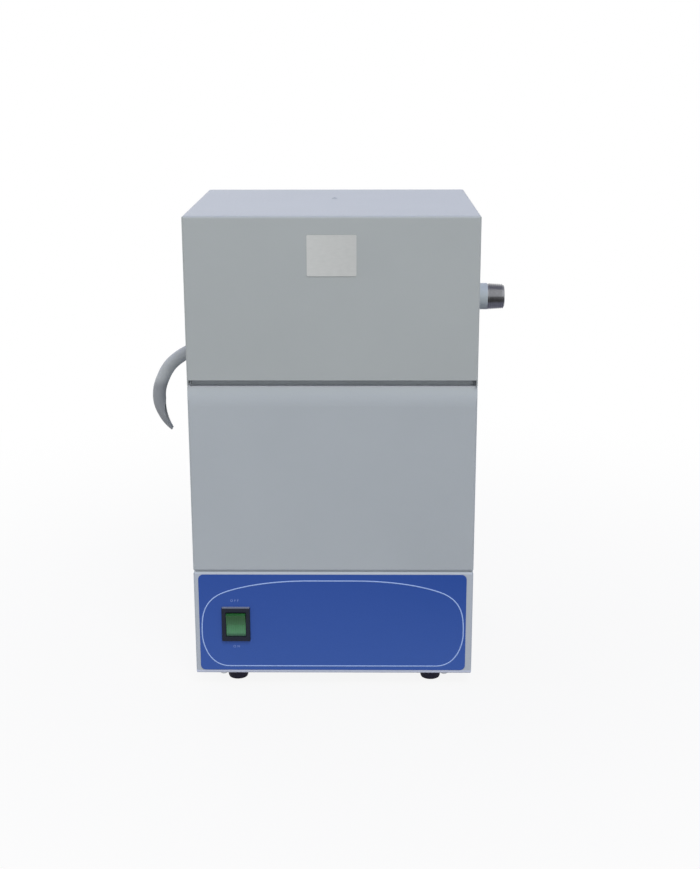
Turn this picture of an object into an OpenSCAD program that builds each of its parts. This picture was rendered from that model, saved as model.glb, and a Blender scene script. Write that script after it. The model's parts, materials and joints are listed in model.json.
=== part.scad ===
// Bench water distiller with a lift-off hood, an electric boiler and a water-cooled condenser.
// The cabinet is drawn with x = 0 on its middle plane, y = 0 on its front face and z = 0 on the bench.

/* [Casing] */
// Width of the cabinet
body_w = 245; // [235:1:285]
// Depth of the cabinet
body_d = 213; // [208:1:250]
// Height of the base box, from its underside to the seam above it
base_h = 96.2; // [90:0.2:120]
// Height of the boiler casing, from the seam to its top flange
mid_h = 165.3; // [150:0.1:200]
// Height of the hood above the gap over the boiler casing
hood_h = 142.5; // [136:0.5:180]
// Thickness of the painted steel sheet
sheet = 1.2; // [1:0.1:1.5]
// Outside radius of the sheet bends
bend_r = 2; // [1.6:0.1:3]
// Radius of the rolled brow at the top front of the boiler casing
brow_r = 38; // [28:0.5:44]
// Angle through which the brow leans back before it is folded flat
brow_lean = 24; // [22:1:32]
// Depth of the finger groove, from the front face to the upstand behind it
groove_d = 10.5; // [10.5:0.5:14]
// Height of the finger groove under the front of the hood
groove_h = 6; // [5.5:0.5:12]
// Height of the upstand behind the finger groove
upstand_h = 21.5; // [16:0.5:30]
// Width of the side lips of the hood
hood_lip = 18; // [18:1:26]
// Width of the folded flanges
flange_w = 12; // [10:1:14]
// Thickness of the deck plate, which shows as the seam above the base box
deck_t = 1; // [0.8:0.1:1.5]
// Gap between the hood's side lips and the boiler casing
hood_gap = 1; // [0.5:0.1:2]
// Slip clearance between sheet-metal pieces
slip = 0.3; // [0.2:0.05:0.5]

/* [Hood fixing] */
// Distance of the hood screw from the front face
hood_screw_y = 130; // [90:1:150]
// Diameter of the hood screw's thread
hood_screw_d = 4; // [3:0.5:5]
// Width of the bridge strap under the hood
bridge_w = 24; // [18:1:36]
// Depth of the bridge strap's stiffening lips
bridge_lip = 6; // [4:0.5:8]

/* [Hood plate] */
// Width of the bare plate on the front of the hood
plate_w = 41; // [30:0.5:60]
// Height of the bare plate
plate_h = 34; // [24:0.5:50]
// Thickness of the bare plate
plate_t = 0.5; // [0.3:0.1:1]
// Distance from the top of the hood down to the plate
plate_drop = 15.4; // [8:0.2:40]
// Corner radius of the plate
plate_r = 1.2; // [0.5:0.1:4]

/* [Feet] */
// Height of the base box above the bench
foot_h = 12; // [8:0.5:20]
// Diameter of a foot at its top
foot_d = 21; // [17:0.5:26]
// Diameter of a foot at the bench
foot_tip_d = 17.5; // [13:0.5:20]
// Distance of the feet from the sides of the cabinet
foot_inset_x = 35.5; // [25:0.5:45]
// Gap between the front feet and the folded edge of the control panel
foot_clear = 0.5; // [0.3:0.1:15]

/* [Control panel] */
// Depth of the control panel's folded edges
panel_depth = 10; // [8:0.5:12]
// Thickness of the printed overlay
overlay_t = 0.4; // [0.2:0.1:0.8]
// Margin between the overlay and the sides of the panel
overlay_side = 5; // [3:0.5:12]
// Margin between the overlay and the bottom of the panel
overlay_edge = 3.5; // [2.5:0.1:8]
// Margin between the overlay and the top of the panel
overlay_head = 2.2; // [2:0.1:8]
// Distance by which the overlay is stuck left of the middle
overlay_off = 0.8; // [0:0.1:1.5]
// Corner radius of the overlay
overlay_r = 4.5; // [1:0.5:10]
// Distance of the switch from the left side of the cabinet
switch_inset = 36.5; // [30:0.5:120]
// Height of the switch above the underside of the base box
switch_rise = 47.8; // [30:0.1:60]
// Distance of the panel screws from the sides of the cabinet
panel_screw_inset = 24; // [15:0.5:30]

/* [Switch] */
// Width of the switch bezel
bezel_w = 25; // [24:0.1:28]
// Height of the switch bezel
bezel_h = 32; // [32:0.1:36]
// Thickness of the switch bezel
bezel_t = 2.5; // [2:0.1:4]
// Width of the switch body behind the panel
switch_w = 21.6; // [21:0.1:22.5]
// Height of the switch body behind the panel
switch_l = 29.6; // [28.5:0.1:30.5]
// Depth of the switch body behind the panel
switch_depth = 24; // [20:0.5:30]
// Width of the rocker
rocker_w = 17; // [15:0.1:17.4]
// Height of the rocker
rocker_l = 21.2; // [19:0.1:24]
// Angle between the rocker's two positions
rocker_throw = 20; // [12:1:22]
// Diameter of the rocker's trunnions
trunnion_d = 3; // [2:0.1:4]
// Running clearance round a trunnion
trunnion_gap = 0.05; // [0.02:0.01:0.1]

/* [Boiler and condenser] */
// Diameter of the bolted flange between the boiler and the condenser bell
flange_d = 172; // [160:1:180]
// Width of the bolted flange outside the wall of the still
flange_land = 11; // [10:0.5:13]
// Thickness of the stainless steel sheet
steel_t = 1.5; // [1:0.1:2]
// Thickness of the bolted flanges
flange_t = 2; // [1.5:0.1:3]
// Thickness of the boiler gasket
gasket_t = 3; // [2:0.5:4]
// Height of the boiler above the deck
stand_h = 14.8; // [12:0.2:20]
// Corner radius of the boiler's bottom and of the bell's top
still_rim_r = 12; // [6:0.5:16]
// Distance from the boiler's flange down from the top of its casing
boiler_drop = 9.5; // [8:0.5:12]
// Distance from the hood's top down to the condenser bell
bell_drop = 18; // [14:0.5:24]
// Number of flange bolts
bolt_count = 6; // [6:1:8]
// Diameter of the flange bolts
bolt_d = 6; // [5:0.5:6]
// Diameter of the steam chimney
chimney_d = 40; // [30:1:50]
// Height of the steam chimney above the collector tray
chimney_h = 40; // [25:1:44]
// Diameter of the cooling coil, at the middle of its tube
coil_d = 100; // [90:1:112]
// Diameter of the cooling tube
tube_d = 12; // [10:0.5:13]
// Whole turns of the cooling coil
coil_turns = 4; // [3:1:4]

/* [Water inlet] */
// Height of the water inlet above the bell's flange
inlet_rise = 64.2; // [60:0.1:68]
// Diameter of the inlet thread
thread_d = 22.9; // [20:0.1:24]
// Length of the inlet thread
thread_l = 15.2; // [10:0.1:20]
// Bore of the inlet nipple
inlet_bore = 15; // [13:0.5:15.5]
// Diameter of the nipple's shank inside the spacer sleeve
shank_d = 18; // [17:0.5:19]
// Diameter of the spacer sleeve
sleeve_d = 23.6; // [21:0.1:26]
// Length of the spacer sleeve
sleeve_l = 16.6; // [12:0.1:24]

/* [Distillate outlet] */
// Height of the distillate spout above the bell's flange
spout_rise = 16.7; // [16:0.1:20]
// Diameter of the distillate spout
spout_d = 8; // [6:0.5:8]
// Bore of the distillate spout
spout_bore = 6; // [4:0.5:6.5]
// Outside diameter of the distillate hose
hose_d = 12; // [11:0.5:14]
// Diameter of the grommet's hole in the cheek
grommet_d = 16; // [15.5:0.5:18]

/* [Cooling water outlet] */
// Direction of the level cup from the still's axis, in degrees to the back from the right
level_angle = 40; // [36:1:44]
// Diameter of the level cup
level_d = 46; // [42:1:48]
// Height of the level cup
level_h = 60; // [45:1:70]
// Height of the level cup above the deck
level_rise = 80.8; // [75:0.2:100]
// Distance between the coil's drop pipe and the overflow standpipe
standpipe_gap = 20; // [18:0.5:21]
// Diameter of the overflow pipe
overflow_d = 15; // [14:0.5:16]
// Diameter of the hose tail behind the cabinet
tail_d = 16; // [15.5:0.5:20]
// Bore of the overflow pipe
overflow_bore = 12; // [10:0.5:13]
// Height of the overflow pipe's outlet above the deck
overflow_rise = 24.8; // [20:0.2:30]
// Length of the overflow pipe behind the cabinet
tail_l = 21; // [15:0.5:30]

/* [Heater and electrics] */
// Diameter of the heater plug's thread
plug_d = 43.4; // [40:0.1:46]
// Diameter of the heating element's tube
element_d = 6; // [5:0.5:8]
// Height of the heating element's hairpins
element_h = 74; // [40:1:80]
// Bore of the cable gland
gland_bore = 10; // [8:0.5:11]
// Distance of the cable gland from the left side of the cabinet
gland_inset = 52; // [40:1:110]
// Height of the cable gland above the underside of the base box
gland_rise = 45; // [30:1:55]

/* [Hidden] */
$fn = 48;
eps = 1;

// Colours
paint = "#a4abb2";
overlay_blue = "#3a5a9c";
black_plastic = "#26292f";
rocker_green = "#4a7a52";
rubber_black = "#201e26";
stainless = "#b9bcbe";
zinc = "#a9acae";
brass = "#b08d3c";
seal_red = "#8a4a3c";
hose_grey = "#9b9fa4";
sleeve_grey = "#c9ccce";
ceramic = "#e6e2d6";
aluminium = "#b4b7b6";

// Levels of the casing
half_w = body_w / 2;
tray_z = foot_h + sheet;
base_top = foot_h + base_h;
mid_z = base_top + deck_t;
mid_top = mid_z + mid_h;
hood_z = mid_top + hood_gap;
hood_top = hood_z + hood_h;
cheek_x = half_w - sheet - slip;
cheek_back = body_d - sheet - slip;
tray_y = panel_depth + slip;
foot_y = panel_depth + foot_clear + foot_d / 2;
foot_recess_h = 6;
overlay_h = base_h - overlay_edge - overlay_head;

// Levels of the still
still_y = body_d / 2;
still_d = flange_d - 2 * flange_land;
still_r = still_d / 2;
boiler_z = mid_z + stand_h;
boiler_top = mid_top - boiler_drop;
gasket_top = boiler_top + gasket_t;
tray_t = 1;
bell_z = gasket_top + tray_t;
bell_top = hood_top - bell_drop;
tray_lift = 7;
pan_z = gasket_top + tray_lift;
bolt_af = bolt_d * 1.67;
bolt_clear = 0.5;
bolt_circle = still_d + bolt_af + 2 * bolt_clear;
bolt_gap = 0.3;
inlet_z = bell_z + inlet_rise;
spout_z = bell_z + spout_rise;
chimney_top = pan_z + tray_t + chimney_h;
cap_gap = 5;
cap_overhang = 8;
cap_d = chimney_d + 2 * cap_overhang;

// Cooling coil
tube_r = tube_d / 2;
tube_gap = 0.1;
coil_r = coil_d / 2;
coil_clear = 3;
coil_end_z = bell_top - steel_t - coil_clear - tube_r;
coil_stub = 5;
coil_end_r = still_r + coil_stub;
lead_turn = 30;
lead_steps = 8;
ring_step = 15;
tube_sides = 10;
coil_sweep = 360 * coil_turns + level_angle;

// Cooling water outlet
drop_clear = 26;
drop_r = flange_d / 2 + drop_clear;
drop_x = drop_r * cos(level_angle);
drop_y = still_y + drop_r * sin(level_angle);
level_y = drop_y - standpipe_gap / 2;
stand_y = drop_y - standpipe_gap;
level_z = mid_z + level_rise;
level_t = 1.2;
outlet_bend_r = 14;
overflow_z = mid_z + overflow_rise;
overflow_bend_r = 18;
weir_drop = 18;
standpipe_top = level_z + level_h - weir_drop;
air_break = 8;
drop_end = standpipe_top + air_break;
feed_angle = atan2(level_y - still_y, drop_x);
feed_r = norm([drop_x, level_y - still_y]);
feed_d = 12;
feed_rise = 12;
feed_z = level_z + feed_rise;
tail_y = body_d + tail_l;
overflow_hole_r = overflow_d / 2 + 2;
grommet_lip = 1.5;

// Water inlet and distillate outlet
nipple_lap = 2;
nipple_x = coil_end_r - nipple_lap;
thread_x = cheek_x + sleeve_l;
nipple_end = thread_x + thread_l;
locknut_t = 6;
spout_setback = 9;
spout_end = cheek_x - spout_setback;
spout_lap = 6;
hose_fit = 0.6;
hose_bore = spout_d + hose_fit;
hose_sides = 12;

// Hose route: distance out from the left side of the cabinet, and drop below the spout
hose_route = [
    [-26, 0], [-16, 0], [-6, 0], [0, 0.1], [6, 1.3], [12, 4], [17.5, 7.2], [22.3, 10.6], [26.2, 14],
    [29.5, 17.8], [32.4, 22.3], [34.9, 27.3], [36.9, 32], [38.4, 37], [39.3, 42], [39.4, 46.5], [38.8, 51],
    [37.6, 55.2], [35.7, 59.6], [33.5, 63.6], [31, 67.2], [28, 70.4], [25.2, 72.9]
];
// Middle and radius of the curved cut that bares the hose's end
hose_cut = [-5.1, 54.8];
hose_cut_r = 39.2;

// Switch
switch_x = switch_inset - half_w;
switch_z = foot_h + switch_rise;
bezel_front = -overlay_t - bezel_t;
pivot_depth = 3;
pivot_y = bezel_front + pivot_depth;
rocker_valley = 2.2;
rocker_rise = rocker_valley + rocker_l / 2 * tan(rocker_throw / 2);
rocker_reach = norm([rocker_l / 2, rocker_rise]);
rocker_corner = atan2(rocker_l / 2, rocker_rise) - rocker_throw / 2;
rocker_front = pivot_y - rocker_reach * cos(rocker_corner);
rocker_gap = 0.4;
trunnion_reach = rocker_w / 2 + 1.5;

// Heater and electrics
plug_gap = 0.1;
plug_gasket_t = 3;
plug_head_t = 7;
plug_head_af = 52;
plug_reach = 10;
plug_top = boiler_z + plug_reach;
plug_z = boiler_z - plug_gasket_t - plug_head_t;
deck_hole_d = 74;
gland_x = gland_inset - half_w;
gland_z = foot_h + gland_rise;
gland_thread_d = 16;
hairpin_r = 13;
hairpin_half = 6;
block_size = [44, 22, 20];
block_offset = [8, 60];
block_pos = [gland_x + block_offset[0], body_d - block_offset[1]];
pole_pitch = 14;
pole_y = 6;
earth_offset = [50, 45];
earth_pos = [gland_x + earth_offset[0], body_d - earth_offset[1]];

// Fasteners
screw_d = 4;
screw_head_d = 7;
screw_head_h = 2.8;
screw_gap = 0.15;
screw_l = 8;
short_screw_l = 7;
thread_gap = 0.05;
screw_edge = 18;
rear_screw_z = [mid_z + screw_edge, mid_z + mid_h / 2, mid_top - screw_edge];
cheek_screw_inset = [35, 42];
cheek_screw_y = [groove_d + cheek_screw_inset[0], body_d - cheek_screw_inset[1]];
deck_screw_inset = 28;
deck_screw_y = [groove_d + deck_screw_inset, body_d - deck_screw_inset];
flange_screw_x = half_w - sheet - flange_w / 2;

// Shift of the cabinet so that the part's box stands centred on the origin
origin_x = (nipple_end - half_w) / 2;
origin_y = (tail_y + rocker_front) / 2;

module place() translate([-origin_x, -origin_y, 0]) children();

// Profile in y and z, drawn out along x and centred on the middle plane
module along_x(length) rotate([90, 0, 90]) linear_extrude(length, center = true) children();

module rod_x(x0, x1, r) translate([x0, 0, 0]) rotate([0, 90, 0]) cylinder(h = x1 - x0, r = r);

module rod_y(y0, y1, r) translate([0, y1, 0]) rotate([90, 0, 0]) cylinder(h = y1 - y0, r = r);

module ring(h, r_out, r_in) {
    difference() {
        cylinder(h = h, r = r_out);
        translate([0, 0, -eps]) cylinder(h = h + 2 * eps, r = r_in);
    }
}

module hex_prism(across_flats, h) cylinder(h = h, r = across_flats / 2 / cos(30), $fn = 6);

module hex_nut(across_flats, h, bore_r) {
    difference() {
        hex_prism(across_flats, h);
        translate([0, 0, -eps]) cylinder(h = h + 2 * eps, r = bore_r);
    }
}

// Pan-head screw: its head stands on z = 0 and its shank points down
module pan_screw(d, head_d, head_h, length) {
    rotate_extrude() polygon([
        [0, -length], [d / 2 - 0.4, -length], [d / 2, 0.4 - length], [d / 2, 0], [head_d / 2, 0],
        [head_d / 2, head_h * 0.45], [head_d * 0.42, head_h * 0.8], [head_d * 0.25, head_h], [0, head_h]
    ]);
}

module on_side(side) mirror([side < 0 ? 1 : 0, 0, 0]) children();

// Rectangle with all four corners rounded, centred on x and standing on y = 0
module round_rect(w, d, r) {
    translate([r - w / 2, 0]) square([w - 2 * r, d]);
    translate([-w / 2, r]) square([w, d - 2 * r]);
    for (x = [r - w / 2, w / 2 - r], y = [r, d - r]) translate([x, y]) circle(r);
}

// Rectangle from y0 to y1 with rounded corners on its lower edge only
module round_foot(w, y0, y1, r) {
    translate([-w / 2, y0 + r]) square([w, y1 - y0 - r]);
    translate([r - w / 2, y0]) square([w - 2 * r, y1 - y0]);
    for (x = [r - w / 2, w / 2 - r]) translate([x, y0 + r]) circle(r);
}

// Half section of a round vessel with a rounded bottom corner
module vessel_section(r, h, corner) {
    square([r - corner, h]);
    translate([0, corner]) square([r, h - corner]);
    translate([r - corner, corner]) circle(corner);
}

module bolt_places() {
    for (i = [0 : bolt_count - 1])
        translate([0, still_y, 0]) rotate([0, 0, 360 / bolt_count * i])
            translate([bolt_circle / 2, 0, 0]) children();
}

module bolt_holes(z, t) {
    bolt_places() translate([0, 0, z - eps]) cylinder(h = t + 2 * eps, r = bolt_d / 2 + bolt_gap);
}

module foot_places() {
    for (x = [foot_inset_x - half_w, half_w - foot_inset_x], y = [foot_y, body_d - foot_y])
        translate([x, y, 0]) children();
}

module panel_screw_places() {
    for (x = [panel_screw_inset - half_w, half_w - panel_screw_inset])
        translate([x, panel_depth * 0.6, foot_h]) children();
}

module deck_screw_places() {
    for (x = [-flange_screw_x, flange_screw_x], y = deck_screw_y)
        translate([x, y, mid_z + sheet]) children();
}

module cheek_screw_places() {
    for (x = [-flange_screw_x, flange_screw_x], y = cheek_screw_y)
        translate([x, y, mid_top + sheet]) children();
}

module rear_screw_places() {
    for (x = [-flange_screw_x, flange_screw_x], z = rear_screw_z)
        translate([x, body_d, z]) rotate([-90, 0, 0]) children();
}

module screw_hole(depth) translate([0, 0, -depth]) cylinder(h = 2 * depth, r = screw_d / 2 + screw_gap);

// Folded pan that closes the front of the base box
module control_panel() {
    color(paint) place() difference() {
        intersection() {
            translate([0, 0, foot_h]) linear_extrude(base_h) round_foot(body_w, 0, panel_depth, bend_r);
            along_x(body_w) {
                translate([0, foot_h + bend_r]) square([panel_depth, base_h - 2 * bend_r]);
                translate([bend_r, foot_h]) square([panel_depth - bend_r, base_h]);
                for (z = [foot_h + bend_r, base_top - bend_r]) translate([bend_r, z]) circle(bend_r);
            }
            translate([0, panel_depth, foot_h]) rotate([90, 0, 0]) linear_extrude(panel_depth)
                round_rect(body_w, base_h, bend_r);
        }
        translate([sheet - half_w, sheet, foot_h + sheet])
            cube([body_w - 2 * sheet, panel_depth, base_h - 2 * sheet]);
        switch_hole();
        panel_screw_places() screw_hole(3 * sheet);
    }
}

module switch_hole() {
    translate([switch_x - switch_w / 2 - slip / 2, -eps - overlay_t, switch_z - switch_l / 2 - slip / 2])
        cube([switch_w + slip, sheet + overlay_t + 2 * eps, switch_l + slip]);
}

module panel_overlay() {
    color(overlay_blue) place() difference() {
        translate([-overlay_off, 0, foot_h + overlay_edge]) rotate([90, 0, 0]) linear_extrude(overlay_t)
            round_rect(body_w - 2 * overlay_side, overlay_h, overlay_r);
        switch_hole();
    }
}

module panel_screws() {
    color(zinc) place() panel_screw_places() rotate([180, 0, 0])
        pan_screw(screw_d, screw_head_d, screw_head_h, screw_l);
}

// Floor, sides and back of the base box, with flanges that carry the deck
module base_tray() {
    tongue_y = sheet + slip;
    color(paint) place() difference() {
        union() {
            intersection() {
                translate([0, body_d, tray_z]) mirror([0, 1, 0]) linear_extrude(base_h - sheet)
                    round_foot(body_w, 0, body_d - tray_y, bend_r);
                translate([0, body_d + eps, 0]) rotate([90, 0, 0]) linear_extrude(body_d + 2 * eps)
                    translate([0, tray_z]) round_rect(body_w, base_top - tray_z, bend_r);
            }
            translate([tongue_y + slip - half_w, tongue_y, tray_z])
                cube([body_w - 2 * (tongue_y + slip), tray_y - tongue_y + eps, sheet]);
        }
        translate([sheet - half_w, tray_y - eps, tray_z + sheet])
            cube([body_w - 2 * sheet, body_d - sheet - tray_y + eps, base_h - 3 * sheet]);
        translate([flange_w - half_w, tray_y - eps, base_top - 2 * sheet])
            cube([body_w - 2 * flange_w, body_d - flange_w - tray_y + eps, 4 * sheet]);
        foot_places() translate([0, 0, tray_z]) screw_hole(3 * sheet);
        panel_screw_places() screw_hole(4 * sheet);
        deck_screw_places() screw_hole(5 * sheet);
        translate([gland_x, 0, gland_z])
            rod_y(body_d - 3 * sheet, body_d + eps, gland_thread_d / 2 + plug_gap);
        translate([earth_pos[0], earth_pos[1], tray_z]) screw_hole(3 * sheet);
    }
}

// Plate between the base box and the boiler casing
module deck_plate() {
    inset = 2;
    color(paint) place() difference() {
        translate([inset - half_w, inset, base_top]) cube([body_w - 2 * inset, body_d - 2 * inset, deck_t]);
        translate([0, still_y, base_top - eps]) cylinder(h = deck_t + 2 * eps, r = deck_hole_d / 2);
        deck_screw_places() screw_hole(5 * sheet);
    }
}

module deck_screws() {
    color(zinc) place() deck_screw_places() pan_screw(screw_d, screw_head_d, screw_head_h, screw_l);
}

// Side outline of the boiler casing: rounded foot, upright front, rolled brow and a fold to the flat top
module casing_side(y0, y1, z0, z1, r_brow, r_fold) {
    brow_z = z1 - r_fold - (r_brow - r_fold) * sin(brow_lean);
    fold_y = y0 + r_brow - (r_brow - r_fold) * cos(brow_lean);
    reach = 2 * r_brow;
    fold = [fold_y, z1 - r_fold];
    translate([fold_y, z0]) square([y1 - fold_y, z1 - z0]);
    translate([y0 + r_fold, z0]) square([fold_y - y0 - r_fold, brow_z - z0]);
    translate([y0, z0 + r_fold]) square([r_fold, brow_z - z0 - r_fold]);
    translate([y0 + r_fold, z0 + r_fold]) circle(r_fold);
    intersection() {
        translate(fold) circle(r_fold);
        translate(fold) rotate(-brow_lean) translate([-reach, 0]) square([2 * reach, reach]);
    }
    intersection() {
        translate([y0 + r_brow, brow_z]) circle(r_brow);
        translate(fold) rotate(-brow_lean) translate([-reach, -reach]) square([2 * reach, reach]);
        translate([y0, brow_z]) square([fold_y - y0, reach]);
    }
}

// Front and sides of the boiler casing, with the upstand behind the finger groove
module mid_cover() {
    inner_r = bend_r - sheet;
    back = body_d - sheet;
    window_x = half_w - flange_w;
    color(paint) place() difference() {
        union() {
            difference() {
                intersection() {
                    along_x(body_w) casing_side(0, back, mid_z, mid_top, brow_r, bend_r);
                    translate([0, 0, mid_z]) linear_extrude(mid_h) round_foot(body_w, 0, back, bend_r);
                    translate([0, back, mid_z]) rotate([90, 0, 0]) linear_extrude(back)
                        round_foot(body_w, 0, mid_h, bend_r);
                }
                along_x(body_w - 2 * sheet) casing_side(
                    sheet, back - sheet, mid_z + sheet, mid_top - sheet, brow_r - sheet, inner_r
                );
                translate([-window_x, groove_d + sheet, mid_z - eps])
                    cube([2 * window_x, body_d, mid_h + 2 * eps]);
            }
            upstand_x = cheek_x - sheet - slip;
            translate([-upstand_x, groove_d, mid_top - sheet])
                cube([2 * upstand_x, sheet, sheet + upstand_h]);
        }
        deck_screw_places() screw_hole(3 * sheet);
        cheek_screw_places() screw_hole(3 * sheet);
        rear_screw_places() screw_hole(4 * sheet);
    }
}

module rear_panel() {
    flange_x = half_w - flange_w - slip;
    color(paint) place() difference() {
        union() {
            translate([0, body_d, mid_z]) mirror([0, 1, 0]) linear_extrude(mid_h)
                round_foot(body_w, 0, sheet, sheet / 2);
            translate([-flange_x, body_d - flange_w, mid_top - sheet])
                cube([2 * flange_x, flange_w - sheet / 2, sheet]);
        }
        rear_screw_places() screw_hole(4 * sheet);
        translate([drop_x, 0, overflow_z])
            rod_y(body_d - 2 * sheet, body_d + eps, overflow_hole_r + tube_gap);
    }
}

module rear_screws() {
    color(zinc) place() rear_screw_places() pan_screw(screw_d, screw_head_d, screw_head_h, short_screw_l);
}

// Fixed side wall under the hood: an upright sheet with flanges at its foot and head
module cheek(side) {
    flange_y = groove_d + sheet + slip;
    top_z = hood_top - sheet;
    difference() {
        on_side(side) {
            translate([cheek_x - sheet, groove_d, mid_top])
                cube([sheet, cheek_back - groove_d, top_z - mid_top]);
            for (z = [mid_top, top_z - sheet])
                translate([cheek_x - flange_w, flange_y, z]) cube([flange_w, cheek_back - flange_y, sheet]);
        }
        cheek_screw_places() screw_hole(3 * sheet);
    }
}

module left_cheek() {
    color(paint) place() difference() {
        cheek(-1);
        translate([0, still_y, spout_z]) rod_x(-cheek_x - eps, eps - cheek_x + sheet, grommet_d / 2);
    }
}

module right_cheek() {
    color(paint) place() difference() {
        cheek(1);
        translate([0, still_y, inlet_z]) rod_x(cheek_x - sheet - eps, cheek_x + eps, shank_d / 2 + tube_gap);
    }
}

module cheek_screws() {
    color(zinc) place() cheek_screw_places() pan_screw(screw_d, screw_head_d, screw_head_h, short_screw_l);
}

// Channel strap between the cheeks, with a weld nut for the hood screw
module hood_bridge() {
    strap_z = hood_top - 3 * sheet;
    reach = cheek_x - sheet - slip;
    nut_af = hood_screw_d + 4;
    nut_h = 4;
    color(paint) place() difference() {
        union() {
            translate([-reach, hood_screw_y - bridge_w / 2, strap_z]) cube([2 * reach, bridge_w, sheet]);
            for (y = [hood_screw_y - bridge_w / 2, hood_screw_y + bridge_w / 2 - sheet])
                translate([flange_w - reach, y, strap_z - bridge_lip])
                    cube([2 * (reach - flange_w), sheet, bridge_lip + sheet]);
            translate([0, hood_screw_y, strap_z - nut_h]) hex_prism(nut_af, nut_h + sheet);
        }
        translate([0, hood_screw_y, strap_z - nut_h - eps])
            cylinder(h = nut_h + sheet + 2 * eps, r = hood_screw_d / 2 + screw_gap);
    }
}

// Lift-off hood: front, top and back in one sheet, with lips folded over the cheeks
module hood() {
    hem = 8;
    front_z = mid_top + groove_h;
    color(paint) place() difference() {
        union() {
            difference() {
                intersection() {
                    translate([0, 0, hood_z]) linear_extrude(hood_h) round_rect(body_w, body_d, bend_r);
                    translate([0, body_d, 0]) rotate([90, 0, 0]) linear_extrude(body_d)
                        hood_section(body_w, 0);
                    along_x(body_w) hood_section(body_d, body_d / 2);
                }
                translate([sheet - half_w, sheet, hood_z - eps])
                    cube([body_w - 2 * sheet, body_d - 2 * sheet, hood_h - sheet + eps]);
            }
            translate([sheet - half_w, sheet, front_z]) cube([body_w - 2 * sheet, hem, sheet]);
        }
        translate([-half_w - eps, hood_lip, hood_z - eps])
            cube([body_w + 2 * eps, body_d - 2 * hood_lip, hood_h - hood_lip + eps]);
        translate([sheet - half_w, -eps, hood_z - eps])
            cube([body_w - 2 * sheet, hem + 2 * sheet, front_z - hood_z + eps]);
        translate([0, hood_screw_y, hood_top - 2 * sheet])
            cylinder(h = 3 * sheet, r = hood_screw_d / 2 + screw_gap);
    }
}

// Upright outline of the hood with its two top corners rounded
module hood_section(w, middle) {
    translate([middle, hood_z + hood_top]) mirror([0, 1]) round_foot(w, hood_z, hood_top, bend_r);
}

module hood_screw() {
    head_d = hood_screw_d + 2;
    head_h = 1.2;
    length = 10;
    color(paint) place() translate([0, hood_screw_y, hood_top])
        pan_screw(hood_screw_d, head_d, head_h, length);
}

// Bare plate stuck on the front of the hood
module hood_plate() {
    color(aluminium) place() translate([0, 0, hood_top - plate_drop - plate_h]) rotate([90, 0, 0])
        linear_extrude(plate_t) round_rect(plate_w, plate_h, plate_r);
}

module rubber_feet() {
    edge = 1.5;
    recess_r = 4.2;
    tip_r = foot_tip_d / 2;
    color(rubber_black) place() foot_places() difference() {
        rotate_extrude() {
            polygon([
                [0, 0], [tip_r - edge, 0], [tip_r - edge * 0.3, edge * 0.3], [tip_r, edge],
                [foot_d / 2, tray_z], [0, tray_z]
            ]);
        }
        translate([0, 0, -eps]) cylinder(h = tray_z + 2 * eps, r = screw_d / 2 + screw_gap);
        translate([0, 0, -eps]) cylinder(h = foot_recess_h + eps, r = recess_r);
    }
}

module foot_screws() {
    past_tray = 6;
    color(zinc) place() foot_places() translate([0, 0, foot_recess_h]) rotate([180, 0, 0])
        pan_screw(screw_d, screw_head_d, screw_head_h, tray_z + sheet - foot_recess_h + past_tray);
}

module foot_nuts() {
    nut_h = 3.2;
    color(zinc) place() foot_places() translate([0, 0, tray_z + sheet])
        hex_nut(screw_head_d, nut_h, screw_d / 2 + thread_gap);
}

// Moulded switch housing: bezel in front of the panel, body behind it, and bearings for the rocker
module switch_body() {
    bevel = 0.8;
    cavity_w = rocker_w + 2 * rocker_gap;
    cavity_l = 2 * (rocker_reach * sin(rocker_corner + rocker_throw) + rocker_gap);
    cavity_depth = 10;
    color(black_plastic) place() translate([switch_x, 0, switch_z]) difference() {
        union() {
            intersection() {
                translate([0, -overlay_t, -bezel_h / 2]) rotate([90, 0, 0]) linear_extrude(bezel_t)
                    round_rect(bezel_w, bezel_h, 1);
                along_x(bezel_w) bezel_section(bezel_h, bevel);
                rotate([0, 90, 0]) along_x(bezel_h) bezel_section(bezel_w, bevel);
            }
            translate([-switch_w / 2, -overlay_t, -switch_l / 2])
                cube([switch_w, switch_depth + overlay_t, switch_l]);
        }
        translate([-cavity_w / 2, bezel_front - eps, -cavity_l / 2])
            cube([cavity_w, cavity_depth + eps, cavity_l]);
        translate([0, pivot_y, 0])
            rod_x(-trunnion_reach - slip, trunnion_reach + slip, trunnion_d / 2 + trunnion_gap);
    }
}

// Section of the bezel plate with its front edges bevelled
module bezel_section(w, bevel) {
    polygon([
        [-overlay_t, -w / 2], [bezel_front + bevel, -w / 2], [bezel_front, bevel - w / 2],
        [bezel_front, w / 2 - bevel], [bezel_front + bevel, w / 2], [-overlay_t, w / 2]
    ]);
}

// Rocker on its trunnions, drawn with the lower half pressed
module switch_rocker() {
    half_l = rocker_l / 2;
    color(rocker_green) place() translate([switch_x, pivot_y, switch_z]) rotate([rocker_throw / 2, 0, 0]) {
        along_x(rocker_w) polygon([
            [-rocker_rise, half_l], [-rocker_valley, 0], [-rocker_rise, -half_l], [0, -half_l],
            [3.4, -half_l * 0.4], [3.4, half_l * 0.4], [0, half_l]
        ]);
        rod_x(-trunnion_reach, trunnion_reach, trunnion_d / 2);
    }
}

module switch_terminals() {
    tab = [6.3, 8, 0.8];
    tab_x = 5;
    tab_z = 8;
    color(brass) place() for (x = [-tab_x, tab_x], z = [-tab_z, tab_z])
        translate([switch_x + x - tab[0] / 2, switch_depth, switch_z + z - tab[2] / 2]) cube(tab);
}

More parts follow.
